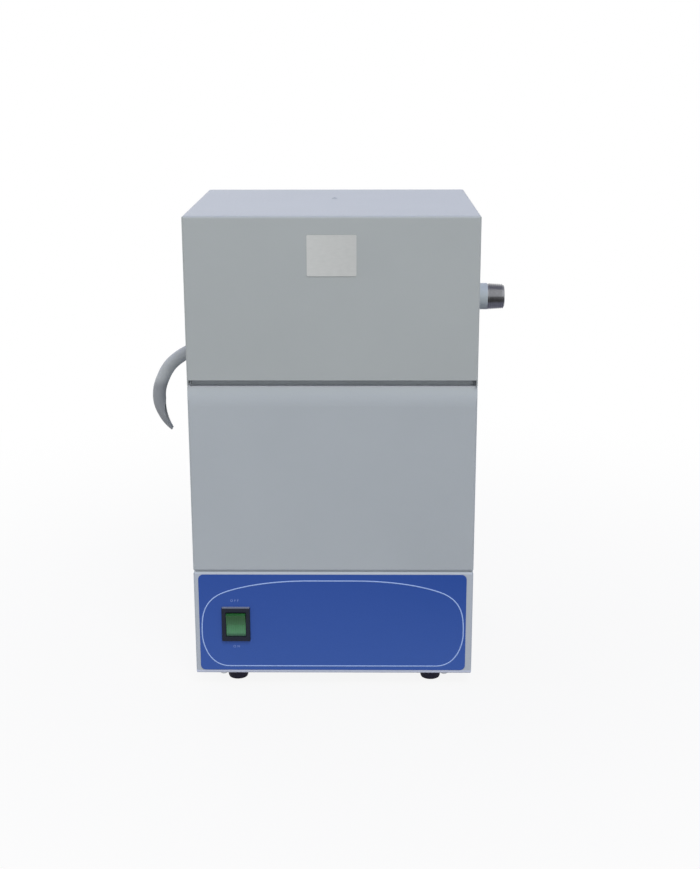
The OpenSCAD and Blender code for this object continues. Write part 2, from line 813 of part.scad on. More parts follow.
// Drawn boiler with a rounded bottom, a bolted flange and a boss for the heater plug
module boiler_vessel() {
    boss_r = plug_d / 2 + 6;
    flange_z = boiler_top - flange_t;
    color(stainless) place() difference() {
        union() {
            translate([0, still_y, boiler_z]) {
                rotate_extrude() vessel_section(still_r, boiler_top - boiler_z, still_rim_r);
            }
            translate([0, still_y, flange_z]) cylinder(h = flange_t, r = flange_d / 2);
        }
        difference() {
            translate([0, still_y, boiler_z + steel_t]) rotate_extrude()
                vessel_section(still_r - steel_t, boiler_top - boiler_z, still_rim_r - steel_t);
            translate([0, still_y, boiler_z]) cylinder(h = plug_reach, r = boss_r);
        }
        translate([0, still_y, boiler_z - eps]) cylinder(h = 3 * plug_reach, r = plug_d / 2 + plug_gap);
        bolt_holes(flange_z, flange_t);
        translate([0, still_y, feed_z]) rotate([0, 0, feed_angle])
            rod_x(still_r - 4 * steel_t, still_r + eps, feed_d / 2 - steel_t);
    }
}

// Skirt ring that stands the boiler on the deck, open on four sides for the leads
module boiler_stand() {
    stand_r = still_r - still_rim_r - 1;
    wall = 2;
    window_h = stand_h - 5;
    color(stainless) place() translate([0, still_y, mid_z]) difference() {
        union() {
            ring(stand_h, stand_r, stand_r - wall);
            ring(wall, stand_r, stand_r - 8);
        }
        for (angle = [0 : 90 : 90]) rotate([0, 0, angle + 45])
            translate([-still_r, -15, wall + eps]) cube([still_d, 30, window_h - wall]);
    }
}

module boiler_gasket() {
    color(seal_red) place() difference() {
        translate([0, still_y, boiler_top]) ring(gasket_t, flange_d / 2 - 1, still_r - 3);
        bolt_holes(boiler_top, gasket_t);
    }
}

module flange_bolts() {
    grip = 2 * flange_t + gasket_t + tray_t;
    color(zinc) place() bolt_places() translate([0, 0, bell_z + flange_t]) {
        rotate([0, 0, 30]) hex_prism(bolt_af, bolt_d * 0.65);
        translate([0, 0, -grip - 8]) cylinder(h = grip + 8, r = bolt_d / 2);
    }
}

module flange_nuts() {
    nut_h = bolt_d * 0.8;
    color(zinc) place() bolt_places() translate([0, 0, boiler_top - flange_t - nut_h]) rotate([0, 0, 30])
        hex_nut(bolt_af, nut_h, bolt_d / 2 + thread_gap);
}

// Bell in which the steam meets the cooling coil
module condenser_bell() {
    bell_h = bell_top - bell_z;
    bore_in = 8;
    color(stainless) place() difference() {
        union() {
            translate([0, still_y, bell_top]) mirror([0, 0, 1]) rotate_extrude()
                vessel_section(still_r, bell_h, still_rim_r);
            translate([0, still_y, bell_z]) cylinder(h = flange_t, r = flange_d / 2);
        }
        translate([0, still_y, bell_top - steel_t]) mirror([0, 0, 1]) rotate_extrude()
            vessel_section(still_r - steel_t, bell_h, still_rim_r - steel_t);
        bolt_holes(bell_z, flange_t);
        translate([0, still_y, inlet_z]) rod_x(still_r - bore_in, still_r + eps, tube_r + tube_gap);
        translate([0, still_y, coil_end_z]) rotate([0, 0, level_angle])
            rod_x(still_r - bore_in, still_r + eps, tube_r + tube_gap);
        translate([0, still_y, spout_z]) rod_x(-still_r - eps, bore_in - still_r, spout_d / 2 + tube_gap);
    }
}

// Raised tray that catches the distillate, with a chimney for the rising steam
module collector_tray() {
    wall_r = still_r - steel_t - slip;
    chimney_r = chimney_d / 2;
    color(stainless) place() difference() {
        translate([0, still_y, 0]) rotate_extrude() polygon([
            [wall_r - tray_t, gasket_top], [flange_d / 2, gasket_top], [flange_d / 2, bell_z],
            [wall_r, bell_z], [wall_r, pan_z + tray_t], [chimney_r, pan_z + tray_t], [chimney_r, chimney_top],
            [chimney_r - tray_t, chimney_top], [chimney_r - tray_t, pan_z], [wall_r - tray_t, pan_z]
        ]);
        bolt_holes(gasket_top, tray_t);
    }
}

// Shallow conical hat on three legs over the chimney
module chimney_cap() {
    drip = 4;
    leg_w = 6;
    color(stainless) place() translate([0, still_y, chimney_top]) {
        translate([0, 0, cap_gap]) rotate_extrude() polygon([
            [0, drip], [cap_d / 2, 0], [cap_d / 2, tray_t], [0, drip + tray_t]
        ]);
        intersection() {
            ring(cap_gap + drip * 0.5, chimney_d / 2, chimney_d / 2 - tray_t);
            for (i = [0 : 2]) rotate([0, 0, 120 * i]) translate([0, -leg_w / 2, 0])
                cube([cap_d, leg_w, cap_gap + drip]);
        }
    }
}

// Coil centre line: a radial lead from the inlet, the turns, and a radial lead to the outlet
function coil_lead(s) = [coil_r + (coil_end_r - coil_r) * pow(1 - s, 2), lead_turn * s * s];
function coil_point(r, angle, z) = [r * cos(angle), r * sin(angle), z];
function coil_height(angle) =
    inlet_z + (coil_end_z - inlet_z) * (angle - lead_turn) / (coil_sweep - 2 * lead_turn);
coil_path = concat(
    [for (i = [0 : lead_steps - 1]) let (p = coil_lead(i / lead_steps)) coil_point(p[0], p[1], inlet_z)],
    [for (a = [lead_turn : ring_step : coil_sweep - lead_turn]) coil_point(coil_r, a, coil_height(a))],
    [for (i = [lead_steps - 1 : -1 : 0]) let (p = coil_lead(i / lead_steps))
        coil_point(p[0], coil_sweep - p[1], coil_end_z)]
);

// Least gap between one turn of the coil and the next, measured on the points of the path
half_turn = 180 / ring_step;
coil_gap = min([for (i = [0 : len(coil_path) - half_turn - 1], j = [i + half_turn : len(coil_path) - 1])
    norm(coil_path[i] - coil_path[j])]) - tube_d;
echo(coil_gap = coil_gap);

// Direction of a path at a point, and a ring of points square to it
function heading(path, i) = let (
    a = path[max(i - 1, 0)],
    b = path[min(i + 1, len(path) - 1)]
) (b - a) / norm(b - a);
function ring_points(centre, direction, up, r, sides) = let (
    u = cross(up, direction) / norm(cross(up, direction)),
    v = cross(direction, u)
) [for (k = [0 : sides - 1]) centre + r * (cos(360 * k / sides) * u + sin(360 * k / sides) * v)];

// Side faces between neighbouring rings of a swept tube, numbered from first
function tube_faces(rings, sides, first, outward) = [
    for (i = [0 : rings - 2], k = [0 : sides - 1]) let (
        a = first + i * sides + k,
        b = first + i * sides + (k + 1) % sides,
        c = b + sides,
        d = a + sides
    ) each (outward ? [[a, c, b], [a, d, c]] : [[a, b, c], [a, c, d]])
];

module swept_rod(path, up, r, sides) {
    rings = len(path);
    last = (rings - 1) * sides;
    points = [for (i = [0 : rings - 1]) each ring_points(path[i], heading(path, i), up, r, sides)];
    caps = [[for (k = [0 : sides - 1]) k], [for (k = [sides - 1 : -1 : 0]) last + k]];
    polyhedron(points, concat(caps, tube_faces(rings, sides, 0, true)));
}

module swept_pipe(path, up, r_out, r_in, sides) {
    rings = len(path);
    inner = rings * sides;
    last = (rings - 1) * sides;
    points = concat(
        [for (i = [0 : rings - 1]) each ring_points(path[i], heading(path, i), up, r_out, sides)],
        [for (i = [0 : rings - 1]) each ring_points(path[i], heading(path, i), up, r_in, sides)]
    );
    caps = [for (k = [0 : sides - 1]) let (n = (k + 1) % sides) each [
        [k, n, inner + n], [k, inner + n, inner + k],
        [last + k, inner + last + n, last + n], [last + k, inner + last + k, inner + last + n]
    ]];
    walls = concat(tube_faces(rings, sides, 0, true), tube_faces(rings, sides, inner, false));
    polyhedron(points, concat(walls, caps));
}

module cooling_coil() {
    color(stainless) place() translate([0, still_y, 0]) swept_rod(coil_path, [0, 0, 1], tube_r, tube_sides);
}

// Threaded nipple with a plain shank that reaches in to the coil
module inlet_nipple() {
    chamfer = 1.2;
    socket_l = 9;
    thread_r = thread_d / 2;
    color(stainless) place() translate([0, still_y, inlet_z]) difference() {
        union() {
            rod_x(nipple_x, thread_x + eps, shank_d / 2);
            rotate([0, 90, 0]) rotate_extrude() polygon([
                [0, thread_x], [thread_r, thread_x], [thread_r, nipple_end - chamfer],
                [thread_r - chamfer, nipple_end], [0, nipple_end]
            ]);
        }
        rod_x(nipple_x - eps, nipple_x + socket_l, tube_r + tube_gap);
        rod_x(nipple_x + socket_l - slip, nipple_end + eps, inlet_bore / 2);
        translate([0, 0, -thread_d]) cylinder(h = 2 * thread_d, r = still_r + tube_gap);
    }
}

module inlet_sleeve() {
    color(sleeve_grey) place() translate([cheek_x, still_y, inlet_z]) rotate([0, 90, 0])
        ring(sleeve_l, sleeve_d / 2, shank_d / 2 + tube_gap);
}

module inlet_locknut() {
    color(brass) place() translate([cheek_x - sheet - locknut_t, still_y, inlet_z]) rotate([0, 90, 0])
        hex_nut(shank_d + 8, locknut_t, shank_d / 2 + thread_gap);
}

module distillate_spout() {
    color(stainless) place() translate([0, still_y, spout_z]) difference() {
        rod_x(-spout_end, spout_lap - still_r, spout_d / 2);
        rod_x(-spout_end - eps, spout_lap - still_r + eps, spout_bore / 2);
    }
}

// Soft hose pushed on the spout, with its free end cut away on the side that faces the cabinet
module distillate_hose() {
    path = [for (p = hose_route) [-half_w - p[0], still_y, spout_z - p[1]]];
    color(hose_grey) place() difference() {
        swept_pipe(path, [0, 1, 0], hose_d / 2, hose_bore / 2, hose_sides);
        translate([-half_w - hose_cut[0], 0, spout_z - hose_cut[1]])
            rod_y(still_y - hose_d, still_y + hose_d, hose_cut_r);
    }
}

module hose_grommet() {
    color(rubber_black) place() translate([-cheek_x, still_y, spout_z]) rotate([0, 90, 0])
        grommet(hose_d / 2 + tube_gap, grommet_d / 2 - tube_gap);
}

// Rubber ring with a lip on each side of a sheet that lies between z = 0 and the sheet's thickness
module grommet(bore_r, hole_r) {
    rim_r = hole_r + grommet_lip;
    rotate_extrude() polygon([
        [bore_r, -grommet_lip], [rim_r, -grommet_lip], [rim_r, 0], [hole_r, 0], [hole_r, sheet],
        [rim_r, sheet], [rim_r, sheet + grommet_lip], [bore_r, sheet + grommet_lip]
    ]);
}

// Quarter bend in the x-z plane from +x down to -z, starting at the origin
module quarter_bend(bend, r_out, r_in) {
    translate([0, 0, -bend]) rotate([90, 0, 0]) rotate_extrude(angle = 90) translate([bend, 0]) difference() {
        circle(r_out);
        circle(r_in);
    }
}

module pipe_z(z0, z1, r_out, r_in) translate([0, 0, z0]) ring(z1 - z0, r_out, r_in);

// Pipe from the coil's end, over the flange and down into the level cup
module coil_outlet_pipe() {
    wall = 1;
    run = drop_r - outlet_bend_r - coil_end_r;
    color(stainless) place() translate([0, still_y, coil_end_z]) rotate([0, 0, level_angle]) {
        translate([coil_end_r, 0, 0]) rotate([0, 90, 0]) ring(run, tube_r, tube_r - wall);
        translate([drop_r - outlet_bend_r, 0, 0]) quarter_bend(outlet_bend_r, tube_r, tube_r - wall);
        translate([drop_r, 0, 0]) pipe_z(drop_end - coil_end_z, -outlet_bend_r, tube_r, tube_r - wall);
    }
}

module level_cup() {
    cup_r = level_d / 2;
    color(stainless) place() difference() {
        translate([drop_x, level_y, level_z]) cylinder(h = level_h, r = cup_r);
        translate([drop_x, level_y, level_z + level_t]) cylinder(h = level_h, r = cup_r - level_t);
        translate([drop_x, stand_y, level_z - eps]) cylinder(h = 3 * eps, r = overflow_d / 2 + tube_gap);
        translate([0, still_y, feed_z]) rotate([0, 0, feed_angle])
            rod_x(feed_r - cup_r - eps, feed_r - cup_r / 2, feed_d / 2 - steel_t);
    }
}

// Short tube that lets the cup's water into the boiler, coped to both walls
module level_feed_tube() {
    color(stainless) place() difference() {
        translate([0, still_y, feed_z]) rotate([0, 0, feed_angle]) rotate([0, 90, 0])
            translate([0, 0, still_r - 5]) ring(feed_r - still_r, feed_d / 2, feed_d / 2 - steel_t);
        translate([0, still_y, feed_z - feed_d]) cylinder(h = 2 * feed_d, r = still_r);
        translate([drop_x, level_y, feed_z - feed_d]) cylinder(h = 2 * feed_d, r = level_d / 2);
    }
}

// Standpipe that sets the water level, and its run out through the rear panel
module overflow_pipe() {
    r = overflow_d / 2;
    bore = overflow_bore / 2;
    bend_y = stand_y + overflow_bend_r;
    tail_start = body_d + grommet_lip + 1;
    color(stainless) place() translate([drop_x, 0, 0]) {
        translate([0, stand_y, 0]) pipe_z(overflow_z + overflow_bend_r, standpipe_top, r, bore);
        translate([0, bend_y, overflow_z]) rotate([180, 0, -90]) quarter_bend(overflow_bend_r, r, bore);
        translate([0, bend_y, overflow_z]) rotate([-90, 0, 0]) ring(tail_y - bend_y, r, bore);
        translate([0, tail_start, overflow_z]) rotate([-90, 0, 0])
            ring(tail_y - tail_start, tail_d / 2, bore);
    }
}

module overflow_grommet() {
    color(rubber_black) place() translate([drop_x, body_d, overflow_z]) rotate([90, 0, 0])
        grommet(overflow_d / 2 + tube_gap, overflow_hole_r);
}

module heater_plug() {
    color(brass) place() translate([0, still_y, 0]) {
        translate([0, 0, plug_z]) hex_prism(plug_head_af, plug_head_t);
        translate([0, 0, plug_z + plug_head_t]) cylinder(h = plug_top - plug_z - plug_head_t, r = plug_d / 2);
    }
}

module heater_gasket() {
    color(seal_red) place() translate([0, still_y, boiler_z - plug_gasket_t])
        ring(plug_gasket_t, plug_head_af / 2, plug_d / 2 + plug_gap);
}

// Three hairpins of sheathed heating tube standing on the plug
module heating_element() {
    leg_h = element_h - hairpin_half;
    color(stainless) place() translate([0, still_y, plug_top]) for (i = [0 : 2]) rotate([0, 0, 120 * i])
        translate([hairpin_r, 0, 0]) {
            for (y = [-hairpin_half, hairpin_half])
                translate([0, y, 0]) cylinder(h = leg_h, r = element_d / 2);
            translate([0, 0, leg_h]) rotate([90, 0, 90]) rotate_extrude(angle = 180)
                translate([hairpin_half, 0]) circle(element_d / 2);
        }
}

module heater_terminals() {
    stud_l = 14;
    stud_r = 2;
    color(brass) place() translate([0, still_y, plug_z - stud_l])
        for (i = [0 : 2], y = [-hairpin_half, hairpin_half])
            rotate([0, 0, 120 * i]) translate([hairpin_r, y, 0]) cylinder(h = stud_l, r = stud_r);
}

// Snap-disc cut-out under the boiler's bottom
module dry_run_thermostat() {
    disc_x = 42;
    disc_r = 8;
    disc_h = 8;
    tab_y = 4;
    tab = [4, 0.8, 4];
    color(black_plastic) place() translate([-disc_x, still_y, boiler_z - disc_h]) {
        cylinder(h = disc_h, r = disc_r);
        for (y = [-tab_y, tab_y]) translate([-tab[0] / 2, y - tab[1] / 2, -tab[2]]) cube(tab);
    }
}

module terminal_block() {
    wire_r = 2.4;
    screw_r = 1.9;
    slot_w = 1.5;
    slot_z = 12;
    color(ceramic) place() translate([block_pos[0], block_pos[1], tray_z + sheet]) difference() {
        translate([-block_size[0] / 2, -block_size[1] / 2, 0]) cube(block_size);
        terminal_places() {
            translate([0, 0, block_size[2] / 2]) rod_y(-block_size[1], block_size[1], wire_r);
            for (y = [-pole_y, pole_y])
                translate([0, y, block_size[2] / 2]) cylinder(h = block_size[2], r = screw_r);
        }
        for (x = [-pole_pitch / 2, pole_pitch / 2])
            translate([x - slot_w / 2, -block_size[1], slot_z])
                cube([slot_w, 2 * block_size[1], block_size[2]]);
    }
}

module terminal_places() for (x = [-pole_pitch, 0, pole_pitch]) translate([x, 0, 0]) children();

module terminal_screws() {
    color(brass) place() translate([block_pos[0], block_pos[1], tray_z + sheet]) terminal_places()
        for (y = [-pole_y, pole_y]) translate([0, y, block_size[2]]) pan_screw(3.6, 5, 1.5, 7);
}

module earth_stud() {
    head_h = 2;
    stud_l = 22;
    nut_af = 8;
    nut_h = 4;
    color(brass) place() translate([earth_pos[0], earth_pos[1], tray_z - head_h]) {
        cylinder(h = stud_l, r = screw_d / 2);
        for (z = [head_h + sheet, stud_l - 10]) translate([0, 0, z]) hex_prism(nut_af, nut_h);
        hex_prism(nut_af, head_h);
    }
}

// Cable gland on the back of the base box, with its dome cap
module cable_gland() {
    hex_l = 5;
    dome_l = tail_l - hex_l;
    thread_l = 10;
    color(black_plastic) place() translate([gland_x, body_d, gland_z]) rotate([-90, 0, 0]) difference() {
        union() {
            translate([0, 0, -thread_l]) cylinder(h = thread_l + eps, r = gland_thread_d / 2);
            hex_prism(gland_thread_d + 6, hex_l);
            rotate_extrude() polygon([
                [0, hex_l], [gland_thread_d / 2 + 2, hex_l], [gland_thread_d / 2 + 2, hex_l + dome_l * 0.6],
                [gland_bore / 2 + 1.5, hex_l + dome_l], [0, hex_l + dome_l]
            ]);
        }
        translate([0, 0, -thread_l - eps]) cylinder(h = thread_l + tail_l + 2 * eps, r = gland_bore / 2);
    }
}

module gland_nut() {
    nut_h = 5;
    color(black_plastic) place() translate([gland_x, body_d - sheet, gland_z]) rotate([90, 0, 0])
        hex_nut(gland_thread_d + 6, nut_h, gland_thread_d / 2 + thread_gap);
}

base_tray();
control_panel();
panel_overlay();
panel_screws();
deck_plate();
deck_screws();
mid_cover();
rear_panel();
rear_screws();
left_cheek();
right_cheek();
cheek_screws();
hood_bridge();
hood();
hood_screw();
hood_plate();
rubber_feet();
foot_screws();
foot_nuts();
switch_body();
switch_rocker();
switch_terminals();
boiler_vessel();
boiler_stand();
boiler_gasket();
flange_bolts();
flange_nuts();
condenser_bell();
collector_tray();
chimney_cap();
cooling_coil();
inlet_nipple();
inlet_sleeve();
inlet_locknut();
distillate_spout();
distillate_hose();
hose_grommet();
coil_outlet_pipe();
level_cup();
level_feed_tube();
overflow_pipe();
overflow_grommet();
heater_plug();
heater_gasket();
heating_element();
heater_terminals();
dry_run_thermostat();
terminal_block();
terminal_screws();
earth_stud();
cable_gland();
gland_nut();
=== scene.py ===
# %% [markdown]
# # Dressing a bench water distiller
# The distiller is a painted steel cabinet with a lift-off hood. Its rigid parts come from CAD, in metres,
# and stay where they are. This lesson gives every surface its finish, and adds the detail that CAD leaves
# plain: the soft hose, the thread on the water inlet, the cross recesses of the screws and the print on
# the control panel.

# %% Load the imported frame
import json
import math

import bmesh
import bpy
from mathutils import Matrix, Quaternion, Vector


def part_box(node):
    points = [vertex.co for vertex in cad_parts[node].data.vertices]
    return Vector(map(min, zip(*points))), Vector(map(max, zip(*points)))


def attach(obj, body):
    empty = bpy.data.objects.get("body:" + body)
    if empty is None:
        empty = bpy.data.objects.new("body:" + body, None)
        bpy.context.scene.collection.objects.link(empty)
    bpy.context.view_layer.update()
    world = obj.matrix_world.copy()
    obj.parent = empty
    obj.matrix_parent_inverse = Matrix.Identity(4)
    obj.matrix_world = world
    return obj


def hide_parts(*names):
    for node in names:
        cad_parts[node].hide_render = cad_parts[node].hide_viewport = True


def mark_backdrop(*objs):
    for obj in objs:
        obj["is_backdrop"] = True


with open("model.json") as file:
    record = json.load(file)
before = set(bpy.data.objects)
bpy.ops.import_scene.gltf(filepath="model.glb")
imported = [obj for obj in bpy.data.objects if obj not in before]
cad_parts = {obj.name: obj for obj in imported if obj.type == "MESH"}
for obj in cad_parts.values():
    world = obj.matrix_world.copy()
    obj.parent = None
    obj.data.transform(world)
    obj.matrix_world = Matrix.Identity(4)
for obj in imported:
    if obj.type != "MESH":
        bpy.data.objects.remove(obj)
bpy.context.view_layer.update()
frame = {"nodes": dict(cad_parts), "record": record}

# %% [markdown]
# A maker measures the cabinet in millimetres from its own front face and middle plane, not from the
# frame's origin. The hood spans the full width and depth, so its box tells where those two planes are.
# One small function then turns a cabinet measure into a point of the frame, and every piece below is
# placed with it.

# %% Measure from the cabinet
MM = 0.001
hood_low, hood_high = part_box("hood")
MIDDLE_X = (hood_low.x + hood_high.x) / 2
FRONT_Y = hood_low.y
BACK = (hood_high.y - hood_low.y) / MM
HALF_WIDTH = (hood_high.x - hood_low.x) / 2 / MM


def at(x, y, z):
    """Frame point of a cabinet measure: right of the middle, back from the front, up from the bench."""
    return Vector((MIDDLE_X + x * MM, FRONT_Y + y * MM, z * MM))


print(f"cabinet {2 * HALF_WIDTH:.1f} mm wide, {BACK:.1f} mm deep")

# %% [markdown]
# The photograph's camera was worked out from the corners of the cabinet. It stands a little right of the
# middle, looks down at the still from above its top, and has a long lens. A camera could also be placed
# by eye, but solved numbers put the edges within about a pixel, so differences that remain are differences of
# shape and not of view.

# %% Camera at the photograph's place
IMAGE_LONG_SIDE = 869
FOCAL_PIXELS = 1394.8
YAW, PITCH, ROLL = (math.radians(angle) for angle in (-0.547, 15.708, 0.108))

lens = bpy.data.cameras.new("photo_camera")
lens.sensor_width = 36
lens.lens = lens.sensor_width * FOCAL_PIXELS / IMAGE_LONG_SIDE
camera = bpy.data.objects.new("photo_camera", lens)
bpy.context.collection.objects.link(camera)
forward = Vector((math.sin(YAW) * math.cos(PITCH), math.cos(YAW) * math.cos(PITCH), -math.sin(PITCH)))
camera.location = at(25.78, -1140.34, 554.04)
camera.rotation_mode = "QUATERNION"
camera.rotation_quaternion = Quaternion(forward, ROLL) @ forward.to_track_quat("-Z", "Y")
bpy.context.scene.camera = camera
print(f"camera at {camera.location[:]} with a {lens.lens:.2f} mm lens")

# %% [markdown]
# Colours are read from the photograph as sRGB values, the numbers a paint program shows. Blender's
# shaders work with linear light, so one function turns a hex colour into linear values. A second one adds
# any node with its options, values and links, which keeps each material short enough to read as a recipe.

# %% Helpers for colours and nodes


def linear(hex_colour):
    """Linear RGBA of an sRGB hex colour such as #9ea5aa."""
    channels = [int(hex_colour[i : i + 2], 16) / 255 for i in (1, 3, 5)]
    return [c / 12.92 if c <= 0.04045 else ((c + 0.055) / 1.055) ** 2.4 for c in channels] + [1.0]


def add(tree, kind, settings=None, values=None, links=None):
    """Add a node to a tree, with its settings, the values of its inputs and the outputs linked to them."""
    node = tree.nodes.new(kind)
    for name, value in (settings or {}).items():
        setattr(node, name, value)
    for socket, value in (values or {}).items():
        node.inputs[socket].default_value = value
    for socket, output in (links or {}).items():
        tree.links.new(output, node.inputs[socket])
    return node


def new_material(name):
    """An empty node material with a Principled shader that is linked to its output."""
    material = bpy.data.materials.new(name)
    material.use_nodes = True
    tree = material.node_tree
    tree.nodes.clear()
    shader = add(tree, "ShaderNodeBsdfPrincipled")
    add(tree, "ShaderNodeOutputMaterial", links={"Surface": shader.outputs["BSDF"]})
    place = add(tree, "ShaderNodeTexCoord").outputs["Object"]
    return material, tree, shader, place


def per_metre(size_mm):
    """Texture scale at which one feature of the pattern measures size_mm."""
    return 1000 / size_mm


print("grey #9ea5aa is", [round(c, 3) for c in linear("#9ea5aa")])

# %% [markdown]
# The photograph shows the still cut out on white, lit softly from above and in front. A white room could
# be lit until it burns out, but that would bleach the paint too. Instead the world shows white only to
# camera, mirror and glass rays, and lights the object at a plain level. The floor is white in the same
# way, and keeps part of the shadow.

# %% World


def seen_directly(tree):
    """Output that is 1 for camera, mirror and glass rays, and 0 for rays that light the object."""
    ray = add(tree, "ShaderNodeLightPath")
    camera_or_mirror = add(tree, "ShaderNodeMath", {"operation": "MAXIMUM"},
                           links={0: ray.outputs["Is Camera Ray"], 1: ray.outputs["Is Glossy Ray"]})
    return add(tree, "ShaderNodeMath", {"operation": "MAXIMUM"},
               links={0: camera_or_mirror.outputs[0], 1: ray.outputs["Is Transmission Ray"]}).outputs[0]


scene = bpy.context.scene
scene.view_settings.view_transform = "Standard"
world = bpy.data.worlds.new("white_room")
scene.world = world
world.use_nodes = True
room = world.node_tree
room.nodes.clear()
room_light = add(room, "ShaderNodeBackground", values={"Color": linear("#f4f6fa"), "Strength": 0.36})
room_white = add(room, "ShaderNodeBackground", values={"Color": linear("#ffffff"), "Strength": 1.0})
room_mix = add(room, "ShaderNodeMixShader",
               links={"Fac": seen_directly(room), 1: room_light.outputs[0], 2: room_white.outputs[0]})
add(room, "ShaderNodeOutputWorld", links={"Surface": room_mix.outputs[0]})
print("world:", len(room.nodes), "nodes")

# %% Floor
FLOOR_SIZE = 60.0
FLOOR_GLOW = 0.9
SHADOW_NEAR, SHADOW_FAR = 0.15, 0.9
floor_mesh = bpy.data.meshes.new("floor")
half = FLOOR_SIZE / 2
corners = [(-half, -half, 0), (half, -half, 0), (half, half, 0), (-half, half, 0)]
floor_mesh.from_pydata(corners, [], [(0, 1, 2, 3)])
floor = bpy.data.objects.new("floor", floor_mesh)
bpy.context.collection.objects.link(floor)
floor_paint = bpy.data.materials.new("white_paper_floor")
floor_paint.use_nodes = True
paper = floor_paint.node_tree
paper.nodes.clear()
away = add(paper, "ShaderNodeVectorMath", {"operation": "LENGTH"},
           links={0: add(paper, "ShaderNodeTexCoord").outputs["Object"]})
fade = add(paper, "ShaderNodeMapRange", {"interpolation_type": "SMOOTHSTEP"},
           {"From Min": SHADOW_NEAR, "From Max": SHADOW_FAR, "To Min": FLOOR_GLOW, "To Max": 1.0},
           {"Value": away.outputs["Value"]})
share = add(paper, "ShaderNodeMath", {"operation": "MULTIPLY"},
            links={0: seen_directly(paper), 1: fade.outputs[0]})
matt = add(paper, "ShaderNodeBsdfDiffuse", values={"Color": linear("#adadad")})
glow = add(paper, "ShaderNodeEmission", values={"Color": linear("#ffffff"), "Strength": 1.0})
sheet_mix = add(paper, "ShaderNodeMixShader",
                links={"Fac": share.outputs[0], 1: matt.outputs[0], 2: glow.outputs[0]})
add(paper, "ShaderNodeOutputMaterial", links={"Surface": sheet_mix.outputs[0]})
floor_mesh.materials.append(floor_paint)
print("floor", FLOOR_SIZE, "m wide")

# %% [markdown]
# Bright metal looks like metal only when it has something dark to mirror. In the photograph the inlet's
# thread shows two bands: a black one from the dark floor in front of the still, and a grey one from the
# ceiling. A real room could be built for that, but it would take light from the paint. So flat cards
# stand in for it, which only mirrors see.

# %% Cards for the metal to mirror


def mirror_card(name, corners, colour):
    """A flat card that no camera, shadow or soft light sees, only reflections."""
    mesh = bpy.data.meshes.new(name)
    mesh.from_pydata(corners, [], [(0, 1, 2, 3)])
    card = bpy.data.objects.new(name, mesh)
    bpy.context.collection.objects.link(card)
    for kind in ("camera", "diffuse", "shadow", "transmission", "volume_scatter"):
        setattr(card, "visible_" + kind, False)
    sheet = bpy.data.materials.new(name + "_sheet")
    sheet.use_nodes = True
    sheet.node_tree.nodes.clear()
    even = add(sheet.node_tree, "ShaderNodeEmission", values={"Color": linear(colour), "Strength": 1.0})
    add(sheet.node_tree, "ShaderNodeOutputMaterial", links={"Surface": even.outputs[0]})
    mesh.materials.append(sheet)
    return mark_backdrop(card)


cards = {
    "dark_floor": ((0.2, -2.4, 0.55), (1.1, -2.4, 0.55), (0.5, -0.27, 0.01), (0.05, -0.27, 0.01), "#5e5c5a"),
    "grey_floor": ((0.13, -0.27, 0.01), (2, -0.27, 0.01), (2, 0.6, 0.01), (0.13, 0.6, 0.01), "#9a9aac"),
    "grey_ceiling": ((-2, -0.6, 2.7), (2, -0.6, 2.7), (2, 1.6, 2.7), (-2, 1.6, 2.7), "#a8a8b4"),
}
for name, (*corners, colour) in cards.items():
    mirror_card(name, corners, colour)
print("cards for reflections:", list(cards))

# %% [markdown]
# Five soft lamps do what a photographer's softboxes and a window would: a strong one high in front, a weak
# one low in front, a blue one overhead for the cool tone of the hood's top, and one each for the hose's side
# and the back. A single sun would leave hard shadows. A lamp's bright square would show in the metal, so
# mirrors don't see the lamps.

# %% Lamps
STILL_MIDDLE = 210


def softbox(name, place, size, power, colour):
    """A square area lamp that faces the middle of the still and stays out of reflections."""
    lamp = bpy.data.lights.new(name, "AREA")
    lamp.size = size
    lamp.energy = power
    lamp.color = linear(colour)[:3]
    holder = bpy.data.objects.new(name, lamp)
    bpy.context.collection.objects.link(holder)
    holder.location = place
    holder.rotation_mode = "QUATERNION"
    holder.rotation_quaternion = (at(0, BACK / 2, STILL_MIDDLE) - holder.location).to_track_quat("-Z", "Y")
    holder.visible_glossy = False
    return holder


softbox("key_softbox", (0.6, -2.35, 3.45), 1.8, 113, "#fffdfa")
softbox("front_softbox", (0.5, -2.4, 0.9), 0.8, 13, "#fffdfa")
softbox("top_softbox", (0.1, 0.1, 2.0), 1.6, 10, "#4060ff")
softbox("left_softbox", (-2.0, 0.15, 1.3), 1.2, 16, "#fffdfa")
softbox("back_softbox", (-0.9, 2.6, 1.3), 1.8, 42, "#fffdfa")

# %% [markdown]
# The distillate runs out through a short soft hose that leaves the left wall, arches over and hangs with
# its cut end turned to the cabinet. It is shown from end to end, so its length is the length of that
# curve. A curve with a round bevel would have no bore and no cut end, so the hose is swept as a tube with
# two walls. Its end is pared away in a long curve on the cabinet's side, and a round cutter as wide as
# that curve does the same here.

# %% Hose route
SPOUT_HEIGHT = 285.7
STILL_Y = BACK / 2
HOSE_DIAMETER = 12.0
HOSE_BORE = 8.6
hose_route = [
    (-26, 0), (-16, 0), (-6, 0), (0, 0.1), (6, 1.3), (12, 4), (17.5, 7.2), (22.3, 10.6), (26.2, 14),
    (29.5, 17.8), (32.4, 22.3), (34.9, 27.3), (36.9, 32), (38.4, 37), (39.2, 42), (39.3, 46.5), (38.8, 51),
    (37.6, 55.2), (35.7, 59.6), (33.5, 63.6), (31, 67.2), (28, 70.4), (25.2, 72.9),
]
hose_points = [at(-HALF_WIDTH - out, STILL_Y, SPOUT_HEIGHT - drop) for out, drop in hose_route]


